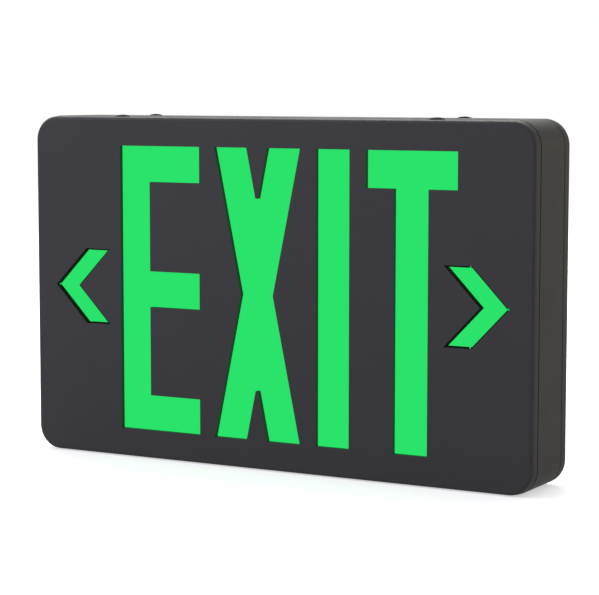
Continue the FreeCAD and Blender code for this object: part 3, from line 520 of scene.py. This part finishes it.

# %% [markdown]
# ## The score line round each arrow
# Both arrows are knock-outs, and this light has had both of them snapped out.  The
# ledge left in the score line and the walls of each opening are painted darker than the
# face, as painted shade in the opening, and dark green, as the lens's light painted on
# them.  A second finish on those few faces is simpler than separate strips, and it can't
# drift away from the opening.  The sides of the cover get the warmer finish of the case
# that they line up with: a painted tint of the warm side light on the face's own plastic.

# %% Give the faces of the front shell their finishes
ARROW_NEAR, ARROW_FAR, ARROW_HALF = 98 * MM, 136 * MM, 24 * MM
SKIN = 0.1 * MM  # what is this close to the face or the lens isn't in the opening's wall
ARROW_SHADE_GLOW, SIDE_WARM_TINT = 1, 2  # numbers of the materials on the shell, after the face's
SIDE_FROM = -0.3  # a part whose normal has a y above this belongs to the sides


def near_arrow(place):
    """True for a place on the score ledge or in the wall of an arrow, but not on the face."""
    off = place - MIDDLE
    within_wall = SKIN < off.y < LENS_Y - FACE_Y - SKIN
    return within_wall and ARROW_NEAR < abs(off.x) < ARROW_FAR and abs(off.z) < ARROW_HALF


# This dark green-black finish for the arrow ledges and walls is painted shade of the opening, with the
# lens's green light painted on it
finishes["torn_edge"] = plastic("torn_edge", (0.0022, 0.011, 0.0042), 0.7, cells=3000.0, mottle=0.5,
                                gloss=0.1)
for name in ("torn_edge", "case_plastic"):
    front_shell.data.materials.append(finishes[name])
# Faces of the shell turned to the sides get the case's warmer colour, a painted tint of the warm side light
# on the same plastic as the face
for polygon in front_shell.data.polygons:
    if near_arrow(polygon.center):
        polygon.material_index = ARROW_SHADE_GLOW
    elif polygon.normal.y > SIDE_FROM:
        polygon.material_index = SIDE_WARM_TINT
marks = [p.material_index for p in front_shell.data.polygons]
print("torn faces", marks.count(ARROW_SHADE_GLOW), "side faces", marks.count(SIDE_WARM_TINT))

# %% [markdown]
# ## Shapes that many small parts share
# Small cases have softened edges, because a mould can't hold a sharp one, and that thin
# line of light is what makes a case look real.  Round parts are turned from a profile,
# as on a lathe.  Both start from the places of the solid model.

# %% Find the separate solids of a piece
def solids_of(node):
    """Lowest and highest corner of every separate solid of a node, in order of x."""
    shape = bmesh.new()
    shape.from_mesh(frame["nodes"][node].data)
    bmesh.ops.remove_doubles(shape, verts=shape.verts, dist=MERGE)
    shape.verts.ensure_lookup_table()
    waiting = set(range(len(shape.verts)))
    found = []
    while waiting:
        group = [waiting.pop()]
        for index in group:
            for edge in shape.verts[index].link_edges:
                other = edge.other_vert(shape.verts[index]).index
                if other in waiting:
                    waiting.remove(other)
                    group.append(other)
        places = [shape.verts[index].co for index in group]
        low = Vector([min(p[i] for p in places) for i in range(3)])
        high = Vector([max(p[i] for p in places) for i in range(3)])
        found.append((low, high))
    shape.free()
    return sorted(found, key=lambda box: (round(box[0].x, 5), round(box[0].z, 5)))


print("lamps on the lower board", len(solids_of("lamps_lower")))

# %% Fit a piece, and soften a case
SHARP = math.radians(50)


def fit_piece(piece, body, slot, *nodes):
    """Puts a piece on its body and hides the solids that it stands for; the slot is not used."""
    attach(piece, body)
    if nodes:
        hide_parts(*nodes)


def eased(shape, edges, width):
    """Rounds the edges of a bmesh by a small bevel."""
    bmesh.ops.bevel(shape, geom=edges, offset=width, affect="EDGES", segments=2, profile=0.5, material=-1,
                    clamp_overlap=True)


def softened(node, width):
    """A copy of a moulded case with its sharp edges eased."""
    slot = next(s["material_slot"] for s in frame["record"]["subparts"] if s["node"] == node)
    piece = merged_copy(node, node + "_case")
    tidy_flats(piece)
    shape = bmesh.new()
    shape.from_mesh(piece.data)
    pairs = [e for e in shape.edges if len(e.link_faces) == 2]
    eased(shape, [e for e in pairs if e.calc_face_angle() > SHARP], width)
    shape.to_mesh(piece.data)
    shape.free()
    piece.data.materials.clear()
    piece.data.materials.append(finishes[slot])
    smooth_to(piece, 35)
    fit_piece(piece, "housing", slot, node)


for case, ease in (("relay", 0.3), ("charger_chip", 0.15), ("terminal_block", 0.2),
                   ("lamp_sockets", 0.12), ("lamp_plugs", 0.15), ("battery_socket", 0.12),
                   ("battery_plug", 0.15), ("test_switch", 0.25), ("charge_lamp_holder", 0.2),
                   ("battery_cradle", 0.25), ("transformer_core", 0.12)):
    softened(case, ease * MM)
print("cases softened")

# %% A plain bar
def bar(shape, x0, x1, y0, y1, z0, z1):
    """A closed bar between two corners."""
    corners = bmesh.ops.create_cube(shape, size=1.0)["verts"]
    bmesh.ops.scale(shape, vec=(x1 - x0, y1 - y0, z1 - z0), verts=corners)
    bmesh.ops.translate(shape, vec=((x0 + x1) / 2, (y0 + y1) / 2, (z0 + z1) / 2), verts=corners)
    return corners


print("bar ready")

# %% Turn a solid on a lathe
def turned(shape, profile, place, along, steps):
    """Adds a turned solid: its profile is of (radius, height), from axis to axis or a closed ring."""
    along = Vector(along).normalized()
    across = along.orthogonal().normalized()
    points = [shape.verts.new(Vector(place) + across * radius * MM + along * height * MM)
              for radius, height in profile]
    edges = [shape.edges.new(pair) for pair in zip(points, points[1:])]
    if profile[0] == profile[-1]:
        edges.append(shape.edges.new((points[-1], points[0])))
    bmesh.ops.spin(shape, geom=points + edges, cent=place, axis=along, angle=2 * math.pi, steps=steps,
                   use_merge=True, use_duplicate=False)


def finished_turning(title, shape, finish, degrees=32):
    """Merges the poles of turned solids, points their faces outwards and shades them."""
    bmesh.ops.remove_doubles(shape, verts=shape.verts, dist=2 * MERGE)
    bmesh.ops.recalc_face_normals(shape, faces=shape.faces)
    piece = mesh_piece(title, shape, finish)
    smooth_to(piece, degrees)
    return piece


print("lathe ready")

# %% [markdown]
# ## Screws
# Pan head screws have a low domed head, a cross recess and a thread rolled into the
# shank.  The thread is turned here as close rings, because a true helix looks the same
# at this size and rings stay watertight.  The recess is cut last, with a tapered cross.

# %% Cut a cross recess
CROSS_TURN = 0.35
BLADE_HALF = 0.42


def cut_cross(piece, place, along, depth, half):
    """Cuts a cross recess with two blades, one after the other, that narrow towards their tip."""
    piece.modifiers.clear()
    turn = Vector(along).to_track_quat("Z", "X").to_matrix().to_4x4()
    for angle, deep in ((CROSS_TURN, depth), (CROSS_TURN + math.pi / 2, 0.97 * depth)):
        cutter = bmesh.new()
        blade = bmesh.ops.create_cube(cutter, size=2.0)["verts"]
        bmesh.ops.scale(cutter, vec=(half * MM, BLADE_HALF * MM, deep * MM), verts=blade)
        tip = [v for v in blade if v.co.z < 0]
        bmesh.ops.scale(cutter, vec=(0.45, 0.7, 1.0), verts=tip)
        place_it = Matrix.Translation(place) @ turn @ Matrix.Rotation(angle, 4, "Z")
        bmesh.ops.transform(cutter, matrix=place_it, verts=blade)
        cut_away(piece, mesh_piece("cross_cutter", cutter))
    smooth_to(piece, 32)


print("cross cutter ready")

# %% Make the screws
HEAD = 1.8
RECESS_DEPTH, RECESS_HALF = 1.3, 1.5
THREAD_ROOT, THREAD_CREST, THREAD_PITCH = 0.98, 1.22, 0.7


def screw_profile(length):
    """Radius and height of a pan head screw, from the tip of its shank to the top of its head."""
    profile = [(0.0, -length), (0.7, -length + 0.1)]
    height = -length + 0.8
    while height < -1.2:
        profile += [(THREAD_ROOT, height - 0.3), (THREAD_CREST, height)]
        height += THREAD_PITCH
    return profile + [(THREAD_ROOT, -0.7), (THREAD_ROOT, 0.0), (2.6, 0.0), (2.8, 0.25), (2.78, 0.9),
                      (2.4, 1.45), (1.5, 1.74), (0.0, HEAD)]


def screws(title, node, along, length):
    """All the screws of one node, with heads along a direction."""
    shape = bmesh.new()
    seats = []
    for low, high in solids_of(node):
        seat = middle_of(low, high)
        seat.y = high.y - HEAD * MM if along[1] > 0 else low.y + HEAD * MM
        seats.append(seat)
        turned(shape, screw_profile(length), seat, along, 20)
    piece = finished_turning(title, shape, "zinc_steel")
    for seat in seats:
        cut_cross(piece, seat + Vector(along) * (HEAD + 0.1) * MM, along, RECESS_DEPTH, RECESS_HALF)
    fit_piece(piece, "housing", "zinc_steel", node)


screws("tray_pan_screws", "tray_screws", (0, -1, 0), 8.0)
screws("board_pan_screws", "board_screws", (0, 1, 0), 5.0)
print("screws made")

# %% [markdown]
# ## Lamps
# Each lamp is a white moulded package with a round window of clear resin over the chip.
# The solid model has a plain square, and the eased package with its domed window is what
# makes it a lamp.  Twenty lamps are alike, so each has few faces.

# %% Make the lamps
CASE_DEPTH = 1.2 * MM


def lamp_row(node, side):
    """The packages and windows of the lamps on one board."""
    cases = bmesh.new()
    windows = bmesh.new()
    for low, high in solids_of(node):
        start = middle_of(low, high)
        start.y = high.y
        bar(cases, low.x, high.x, high.y - CASE_DEPTH, high.y, low.z, high.z)
        turned(windows, [(0.0, 1.1), (1.9, 1.1), (1.9, 1.25), (1.6, 1.42), (0.9, 1.56), (0.0, 1.6)],
               start, (0, -1, 0), 16)
    upright = [e for e in cases.edges if abs(e.verts[0].co.y - e.verts[1].co.y) > 0.5 * MM]
    front = [e for e in cases.edges if e not in upright and e.verts[0].co.y < start.y - 1.0 * MM]
    eased(cases, upright + front, 0.25 * MM)
    row = mesh_piece("lamp_cases_" + side, cases, "white_plastic")
    smooth_to(row, 32)
    fit_piece(row, "housing", "white_plastic", node)
    fit_piece(finished_turning("lamp_windows_" + side, windows, "lamp_resin"), "housing", "lamp_resin")


lamp_row("lamps_lower", "lower")
lamp_row("lamps_upper", "upper")
print("lamps made")

# %% [markdown]
# ## Capacitors and fuse
# A capacitor is a drawn aluminium can, crimped near its foot, in a printed sleeve that
# leaves the scored top bare.  A fuse is a glass tube with a wire between two metal caps.
# All of them are round, so each is one profile on the lathe.

# %% Make the capacitors
CAN_TOP = 11.8
VENT_DEPTH, VENT_HALF = 0.68, 2.4
sleeves = bmesh.new()
tops = bmesh.new()
for low, high in solids_of("capacitors"):
    foot = middle_of(low, high)
    foot.y = low.y
    turned(sleeves, [(0.0, 0.2), (3.5, 0.2), (3.95, 0.5), (3.98, 1.5), (3.6, 1.9), (3.6, 2.2),
                     (3.98, 2.6), (4.0, 11.4), (3.75, 11.85), (3.3, 11.9), (3.2, 11.7), (0.0, 11.7)],
           foot, (0, 1, 0), 32)
    turned(tops, [(0.0, 11.6), (3.25, 11.6), (3.2, 11.86), (3.0, CAN_TOP), (0.0, CAN_TOP)],
           foot, (0, 1, 0), 32)
sleeved = finished_turning("capacitor_sleeves", sleeves, "can_sleeve")
fit_piece(sleeved, "housing", "can_sleeve", "capacitors")
vented = finished_turning("capacitor_tops", tops, "zinc_steel")
for low, high in solids_of("capacitors"):
    blades = middle_of(low, high)
    blades.y = low.y + (CAN_TOP + 0.6) * MM
    cut_cross(vented, blades, (0, 1, 0), VENT_DEPTH, VENT_HALF)
fit_piece(vented, "housing", "zinc_steel")
print("capacitors", len(solids_of("capacitors")))

# %% Make the fuse
FUSE_LENGTH = 20.0
fuse_low, fuse_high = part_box("fuse_link")
fuse_end = middle_of(fuse_low, fuse_high)
fuse_end.x = fuse_low.x
glass_tube = bmesh.new()
far = FUSE_LENGTH - 1.0
turned(glass_tube, [(2.3, 1.0), (2.3, far), (1.8, far), (1.8, 1.0), (2.3, 1.0)], fuse_end, (1, 0, 0), 24)
caps = bmesh.new()
for start, way in ((0.0, 1), (FUSE_LENGTH, -1)):
    cap_place = fuse_end + Vector((start * MM, 0, 0))
    turned(caps, [(0.0, 0.0), (2.2, 0.0), (2.5, 0.3), (2.5, 4.6), (2.32, 4.8), (2.32, 0.9), (0.0, 0.9)],
           cap_place, (way, 0, 0), 24)
wire_end = FUSE_LENGTH - 0.5
turned(caps, [(0.0, 0.5), (0.16, 0.5), (0.16, wire_end), (0.0, wire_end)], fuse_end, (1, 0, 0), 8)
fit_piece(finished_turning("fuse_tube", glass_tube, "fuse_glass"), "housing", "fuse_glass", "fuse_link")
fit_piece(finished_turning("fuse_caps", caps, "zinc_steel"), "housing", "zinc_steel")
print("fuse made")

# %% [markdown]
# ## Battery ends
# Three cells lie under one shrink sleeve.  Raised and flat poles take turns at each end,
# with an insulating ring round each.  They could be painted on, but would look flat from
# the side, so they are turned and set on the ends of the pack.

# %% Make the cell ends
pack_low, pack_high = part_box("battery_pack")
CELL = pack_high.y - pack_low.y
RAISED, FLAT = 0.5, 0.12
poles = bmesh.new()
rings = bmesh.new()
for end, way in ((pack_low.x, -1), (pack_high.x, 1)):
    for row in (-1, 0, 1):
        middle = middle_of(pack_low, pack_high) + Vector((0, 0, row * CELL))
        middle.x = end
        turned(rings, [(0.0, -0.2), (5.6, -0.2), (5.6, 0.1), (5.4, 0.22), (3.6, 0.22), (3.4, 0.05),
                       (0.0, 0.05)], middle, (way, 0, 0), 28)
        rise = RAISED if (row + way) % 2 else FLAT
        turned(poles, [(0.0, -0.1), (3.0, -0.1), (3.0, rise - 0.1), (2.8, rise), (0.0, rise)],
               middle, (way, 0, 0), 24)
fit_piece(finished_turning("battery_rings", rings, "white_board"), "housing", "white_board")
fit_piece(finished_turning("battery_poles", poles, "zinc_steel"), "housing", "zinc_steel")
print("cell", round(CELL / MM, 1), "mm across")

# %% [markdown]
# ## Leads
# A lamp board's lead is a red and a black wire twisted together, and so is the
# battery's.  They are fixed at both ends, so they are wiring and not free cords.  Each
# follows one smooth route, and its two wires wind round that side by side.

# %% Lay out a route
def smooth_route(points):
    """Points along one smooth curve that has the given points as its controls."""
    line = bpy.data.curves.new("route", "CURVE")
    line.dimensions = "3D"
    line.resolution_u = 24
    spline = line.splines.new("NURBS")
    spline.points.add(len(points) - 1)
    for control, place in zip(spline.points, points):
        control.co = (*(Vector(place) * MM), 1.0)
    spline.order_u = 3
    spline.use_endpoint_u = True
    holder = bpy.data.objects.new("route", line)
    mesh = bpy.data.meshes.new_from_object(holder)
    places = [v.co.copy() for v in mesh.vertices]
    bpy.data.objects.remove(holder)
    bpy.data.meshes.remove(mesh)
    return places


def even_steps(places, gap):
    """The same line with a place at every gap along it."""
    even = [places[0]]
    left = gap
    for start, end in zip(places, places[1:]):
        run = (end - start).length
        while run >= left:
            even.append(start + (end - start) * (left / run))
            left += gap
        left -= run
    return even + [places[-1]]


print("route helpers ready")

# %% Wind a wire round a route
WIRE_RADIUS = 0.56 * MM
WIRE_ASIDE = 0.57 * MM  # from the route to the middle of a wire
WIRE_STEP = 1.1  # millimetres between the points of a wire
TWIST = 13.0  # millimetres to a full turn of the pair


def wound_wire(title, routes, phase, finish):
    """One wire of each twisted pair, as a tube."""
    wires = bpy.data.curves.new(title, "CURVE")
    wires.dimensions = "3D"
    wires.bevel_depth = WIRE_RADIUS
    wires.bevel_resolution = 2
    wires.use_fill_caps = True
    for route in routes:
        places = even_steps(smooth_route(route), WIRE_STEP * MM)
        wire = wires.splines.new("POLY")
        wire.points.add(len(places) - 1)
        across = (places[1] - places[0]).orthogonal().normalized()
        for i, place in enumerate(places):
            along = (places[min(i + 1, len(places) - 1)] - places[max(i - 1, 0)]).normalized()
            across = (across - along * across.dot(along)).normalized()
            angle = phase + i * 2 * math.pi * WIRE_STEP / TWIST
            aside = Matrix.Rotation(angle, 3, along) @ across
            wire.points[i].co = (*(place + aside * WIRE_ASIDE), 1.0)
    holder = bpy.data.objects.new(title, wires)
    mesh = bpy.data.meshes.new_from_object(holder)
    bpy.data.objects.remove(holder)
    piece = bpy.data.objects.new(title, mesh)
    bpy.context.scene.collection.objects.link(piece)
    mesh.materials.clear()
    mesh.materials.append(finishes[finish])
    mesh.polygons.foreach_set("use_smooth", [True] * len(mesh.polygons))
    return piece


print("wires", round(2 * WIRE_RADIUS / MM, 2), "mm thick, one turn in", TWIST, "mm")

# %% Make the leads
finishes["black_jacket"] = plastic("black_jacket", (0.016, 0.016, 0.017), 0.42, cells=900.0, mottle=0.1)
lamp_routes = [
    [(-112, -4.4, 53.85), (-112, 3.0, 53.85), (-112, 5.5, 56), (-112, 5.5, 68), (-111, 5.5, 75),
     (-104, 5.5, 76), (-60, 5.5, 76.4), (0, 5.5, 75.6), (60, 5.5, 76.2), (80, 5.5, 76), (85.5, 5.5, 75.5),
     (86, 5.5, 72), (86, 5.5, 68.6)],
    [(112, -4.4, 129.85), (112, 3.0, 129.85), (112, 5.5, 127), (112, 5.5, 112), (111, 5.5, 103),
     (105, 5.5, 94), (98, 5.5, 85), (97, 5.5, 80), (97, 5.5, 68.6)],
]
battery_routes = [
    [(-30.1, 5.5, 37.2), (-27, 5.5, 37.2), (-24, 5.5, 38), (-20, 5.5, 43), (-17.5, 5.5, 44),
     (-15.6, 5.5, 44)],
]
for routes, name in ((lamp_routes, "lamp"), (battery_routes, "battery")):
    red = wound_wire(name + "_red_wires", routes, 0.0, "lead_jacket")
    black = wound_wire(name + "_black_wires", routes, math.pi, "black_jacket")
    fit_piece(red, "housing", "lead_jacket", name + "_leads")
    fit_piece(black, "housing", "lead_jacket")
print("leads wound")

# %% [markdown]
# ## Print and solder on the boards
# A control board has a printed outline round the foot of each part, so that it goes in
# the right way round, and a lamp board has a pair of solder joints where its lead ends.
# The print is raised ink: thin frames are closer to it than a picture would be.

# %% Print outlines on the control board
INK_TOP, INK_ROOT = 0.04, -0.05  # above and below the face of the board
INK_LINE = 0.25
INK_MARGIN = 0.4 * MM  # from the lower edge of the board
NICK = 0.02 * MM  # leaves the ends of the upright bars clear of the level ones


def ink_frame(shape, low, high, gap):
    """Four bars of ink on the board round a foot."""
    x0, x1 = low.x - gap * MM, high.x + gap * MM
    z0, z1 = max(low.z - gap * MM, board_low.z + INK_MARGIN), high.z + gap * MM
    wide = INK_LINE * MM
    for left, right, under, over in (
            (x0 - wide, x1 + wide, z0 - wide, z0), (x0 - wide, x1 + wide, z1, z1 + wide),
            (x0 - wide, x0, z0 + NICK, z1 - NICK), (x1, x1 + wide, z0 + NICK, z1 - NICK)):
        bar(shape, left, right, board_high.y + INK_ROOT * MM, board_high.y + INK_TOP * MM, under, over)


board_low, board_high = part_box("control_board")
ink = bmesh.new()
for part in ("relay", "charger_chip", "transformer_coil", "fuse_clips", "test_switch",
             "charge_lamp_holder"):
    ink_frame(ink, *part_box(part), 0.5)
ink_frame(ink, *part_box("transformer_core"), 0.8)
for low, high in solids_of("capacitors"):
    foot = middle_of(low, high)
    foot.y = board_high.y
    turned(ink, [(4.5, INK_ROOT), (4.75, INK_ROOT), (4.75, INK_TOP), (4.5, INK_TOP), (4.5, INK_ROOT)],
           foot, (0, 1, 0), 32)
fit_piece(finished_turning("board_ink", ink, "white_board"), "housing", "white_board")
print("ink frames printed")

# %% Solder the lamp leads
HALF_LEAD = Vector((1.2 * MM, 0, 1.2 * MM))
solder = bmesh.new()
for low, high in solids_of("lamp_leads"):
    lower = low.x < MIDDLE.x
    joint = low + HALF_LEAD if lower else high - HALF_LEAD
    joint.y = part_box("lamp_board_lower" if lower else "lamp_board_upper")[0].y
    for aside in (-1.4, 1.4):
        turned(solder, [(0.0, -0.05), (1.1, -0.05), (1.05, 0.05), (0.6, 0.25), (0.35, 0.6), (0.2, 0.9),
                        (0.0, 0.95)], joint + Vector((0, 0, aside * MM)), (0, -1, 0), 16)
fit_piece(finished_turning("lamp_solder", solder, "zinc_steel", 50), "housing", "zinc_steel")
print("solder joints", 2 * len(solids_of("lamp_leads")))

# %% [markdown]
# ## Clamps in the terminal block
# A push-in terminal grips the bared wire with a bent spring.  The spring can just be
# seen down each wire entry, and the release slot shows the top of its other leg.

# %% Make the clamps
WAYS = 3
HALF_SPRING = 1.6 * MM
LEAF = (0.15 * MM, 2.3 * MM)  # half the thickness and half the height of the bent leaf
LEAF_TURN = Matrix.Rotation(math.radians(28), 3, "X")
block_low, block_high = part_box("terminal_block")
springs = bmesh.new()
way = (block_high.x - block_low.x) / WAYS
for i in range(WAYS):
    x = block_low.x + (i + 0.5) * way
    bar(springs, x - HALF_SPRING, x + HALF_SPRING, block_low.y + 1.2 * MM, block_low.y + 1.6 * MM,
        block_high.z - 6.9 * MM, block_high.z - 1.5 * MM)
    leaf = bar(springs, -HALF_SPRING, HALF_SPRING, -LEAF[0], LEAF[0], -LEAF[1], LEAF[1])
    bmesh.ops.rotate(springs, cent=(0, 0, 0), matrix=LEAF_TURN, verts=leaf)
    bmesh.ops.translate(springs, vec=(x, block_low.y + 3.8 * MM, block_high.z - 4.4 * MM), verts=leaf)
fit_piece(mesh_piece("terminal_springs", springs, "tinned_brass"), "housing", "tinned_brass")
print("springs", WAYS)

# %% [markdown]
# ## Floor and light
# A studio portrait of a black object on white needs the white to be seen but not to
# flood the object.  The world looks white to the camera and in gloss, and lights the
# object at a plain level.  The floor does the same and still takes a soft shadow.

# %% Choose a look by the kind of ray
def look_by_ray(tree, lit, in_gloss, seen):
    """Joins three looks: one that lights the object, one for gloss and one for the camera."""
    paths = tree.nodes.new("ShaderNodeLightPath")
    direct = math_node(tree, "MAXIMUM", paths.outputs["Is Camera Ray"],
                       paths.outputs["Is Transmission Ray"])
    look = lit
    for chosen, other in ((paths.outputs["Is Glossy Ray"], in_gloss), (direct, seen)):
        mix = tree.nodes.new("ShaderNodeMixShader")
        tree.links.new(chosen, mix.inputs["Fac"])
        tree.links.new(look, mix.inputs[1])
        tree.links.new(other, mix.inputs[2])
        look = mix.outputs[0]
    return look


def glowing(tree, kind, strength):
    """An emission or background node of plain white at a strength."""
    node = tree.nodes.new(kind)
    node.inputs["Color"].default_value = (1.0, 1.0, 1.0, 1.0)
    node.inputs["Strength"].default_value = strength
    return node.outputs[0]


GLOSS_WHITE = 0.45
print("white in gloss", GLOSS_WHITE)

# %% Build the floor
FLOOR_GLOW = 0.52  # what the floor adds to its own light, so that it is seen as white
BELOW = 0.1 * MM  # keeps the floor clear of the underside
floor_shape = bmesh.new()
bmesh.ops.create_grid(floor_shape, x_segments=1, y_segments=1, size=8.0)
bmesh.ops.translate(floor_shape, vec=(0.0, 0.0, -BELOW), verts=floor_shape.verts)
floor = mesh_piece("studio_floor", floor_shape)
floor_material, tree, shader = new_material("studio_floor")
shader.inputs["Base Color"].default_value = (0.8, 0.8, 0.8, 1.0)
shader.inputs["Roughness"].default_value = 0.9
shader.inputs["Specular IOR Level"].default_value = 0.0
lifted = tree.nodes.new("ShaderNodeAddShader")
tree.links.new(shader.outputs[0], lifted.inputs[0])
tree.links.new(glowing(tree, "ShaderNodeEmission", FLOOR_GLOW), lifted.inputs[1])
floor_gloss = glowing(tree, "ShaderNodeEmission", GLOSS_WHITE)
surface = look_by_ray(tree, shader.outputs[0], floor_gloss, lifted.outputs[0])
from_below = tree.nodes.new("ShaderNodeMixShader")
tree.links.new(tree.nodes.new("ShaderNodeNewGeometry").outputs["Backfacing"], from_below.inputs["Fac"])
tree.links.new(surface, from_below.inputs[1])
tree.links.new(tree.nodes.new("ShaderNodeBsdfTransparent").outputs[0], from_below.inputs[2])
tree.links.new(from_below.outputs[0], tree.nodes["Material Output"].inputs["Surface"])
floor.data.materials.append(floor_material)
print("floor", floor.name)

# %% Make the white surroundings
WORLD_LIGHT = 0.66
world = bpy.data.worlds.new("studio")
bpy.context.scene.world = world
world.use_nodes = True
tree = world.node_tree
tree.nodes.remove(tree.nodes["Background"])
looks = [glowing(tree, "ShaderNodeBackground", strength) for strength in (WORLD_LIGHT, GLOSS_WHITE, 1.0)]
tree.links.new(look_by_ray(tree, *looks), tree.nodes["World Output"].inputs["Surface"])
print("world", world.name)

# %% Light the scene
def soft_lamp(title, place, aim, size, power, colour):
    """A square soft box at a place, turned towards its aim."""
    data = bpy.data.lights.new(title, "AREA")
    data.size = size
    data.energy = power
    data.color = colour
    lamp = bpy.data.objects.new(title, data)
    lamp.location = place
    lamp.rotation_euler = (Vector(aim) - Vector(place)).to_track_quat("-Z", "Y").to_euler()
    lamp.visible_camera = False
    bpy.context.scene.collection.objects.link(lamp)


BODY = (0.0, 0.0, 0.09)
TOP_EDGE = (0.0, 0.0, 0.17)
soft_lamp("cool_front_box", (-3.6, -2.8, 1.9), BODY, 2.2, 91.0, (0.80, 0.82, 1.0))
soft_lamp("warm_side_box", (1.5, 1.7, 0.3), BODY, 0.9, 2.8, (1.0, 0.76, 0.50))
soft_lamp("top_box", (-0.5, 0.75, 1.6), TOP_EDGE, 1.2, 25.0, (1.0, 0.98, 0.96))
soft_lamp("back_box", (-0.9, 2.3, 1.1), TOP_EDGE, 2.2, 7.0, (1.0, 1.0, 1.0))
bpy.context.scene.view_settings.view_transform = "Standard"
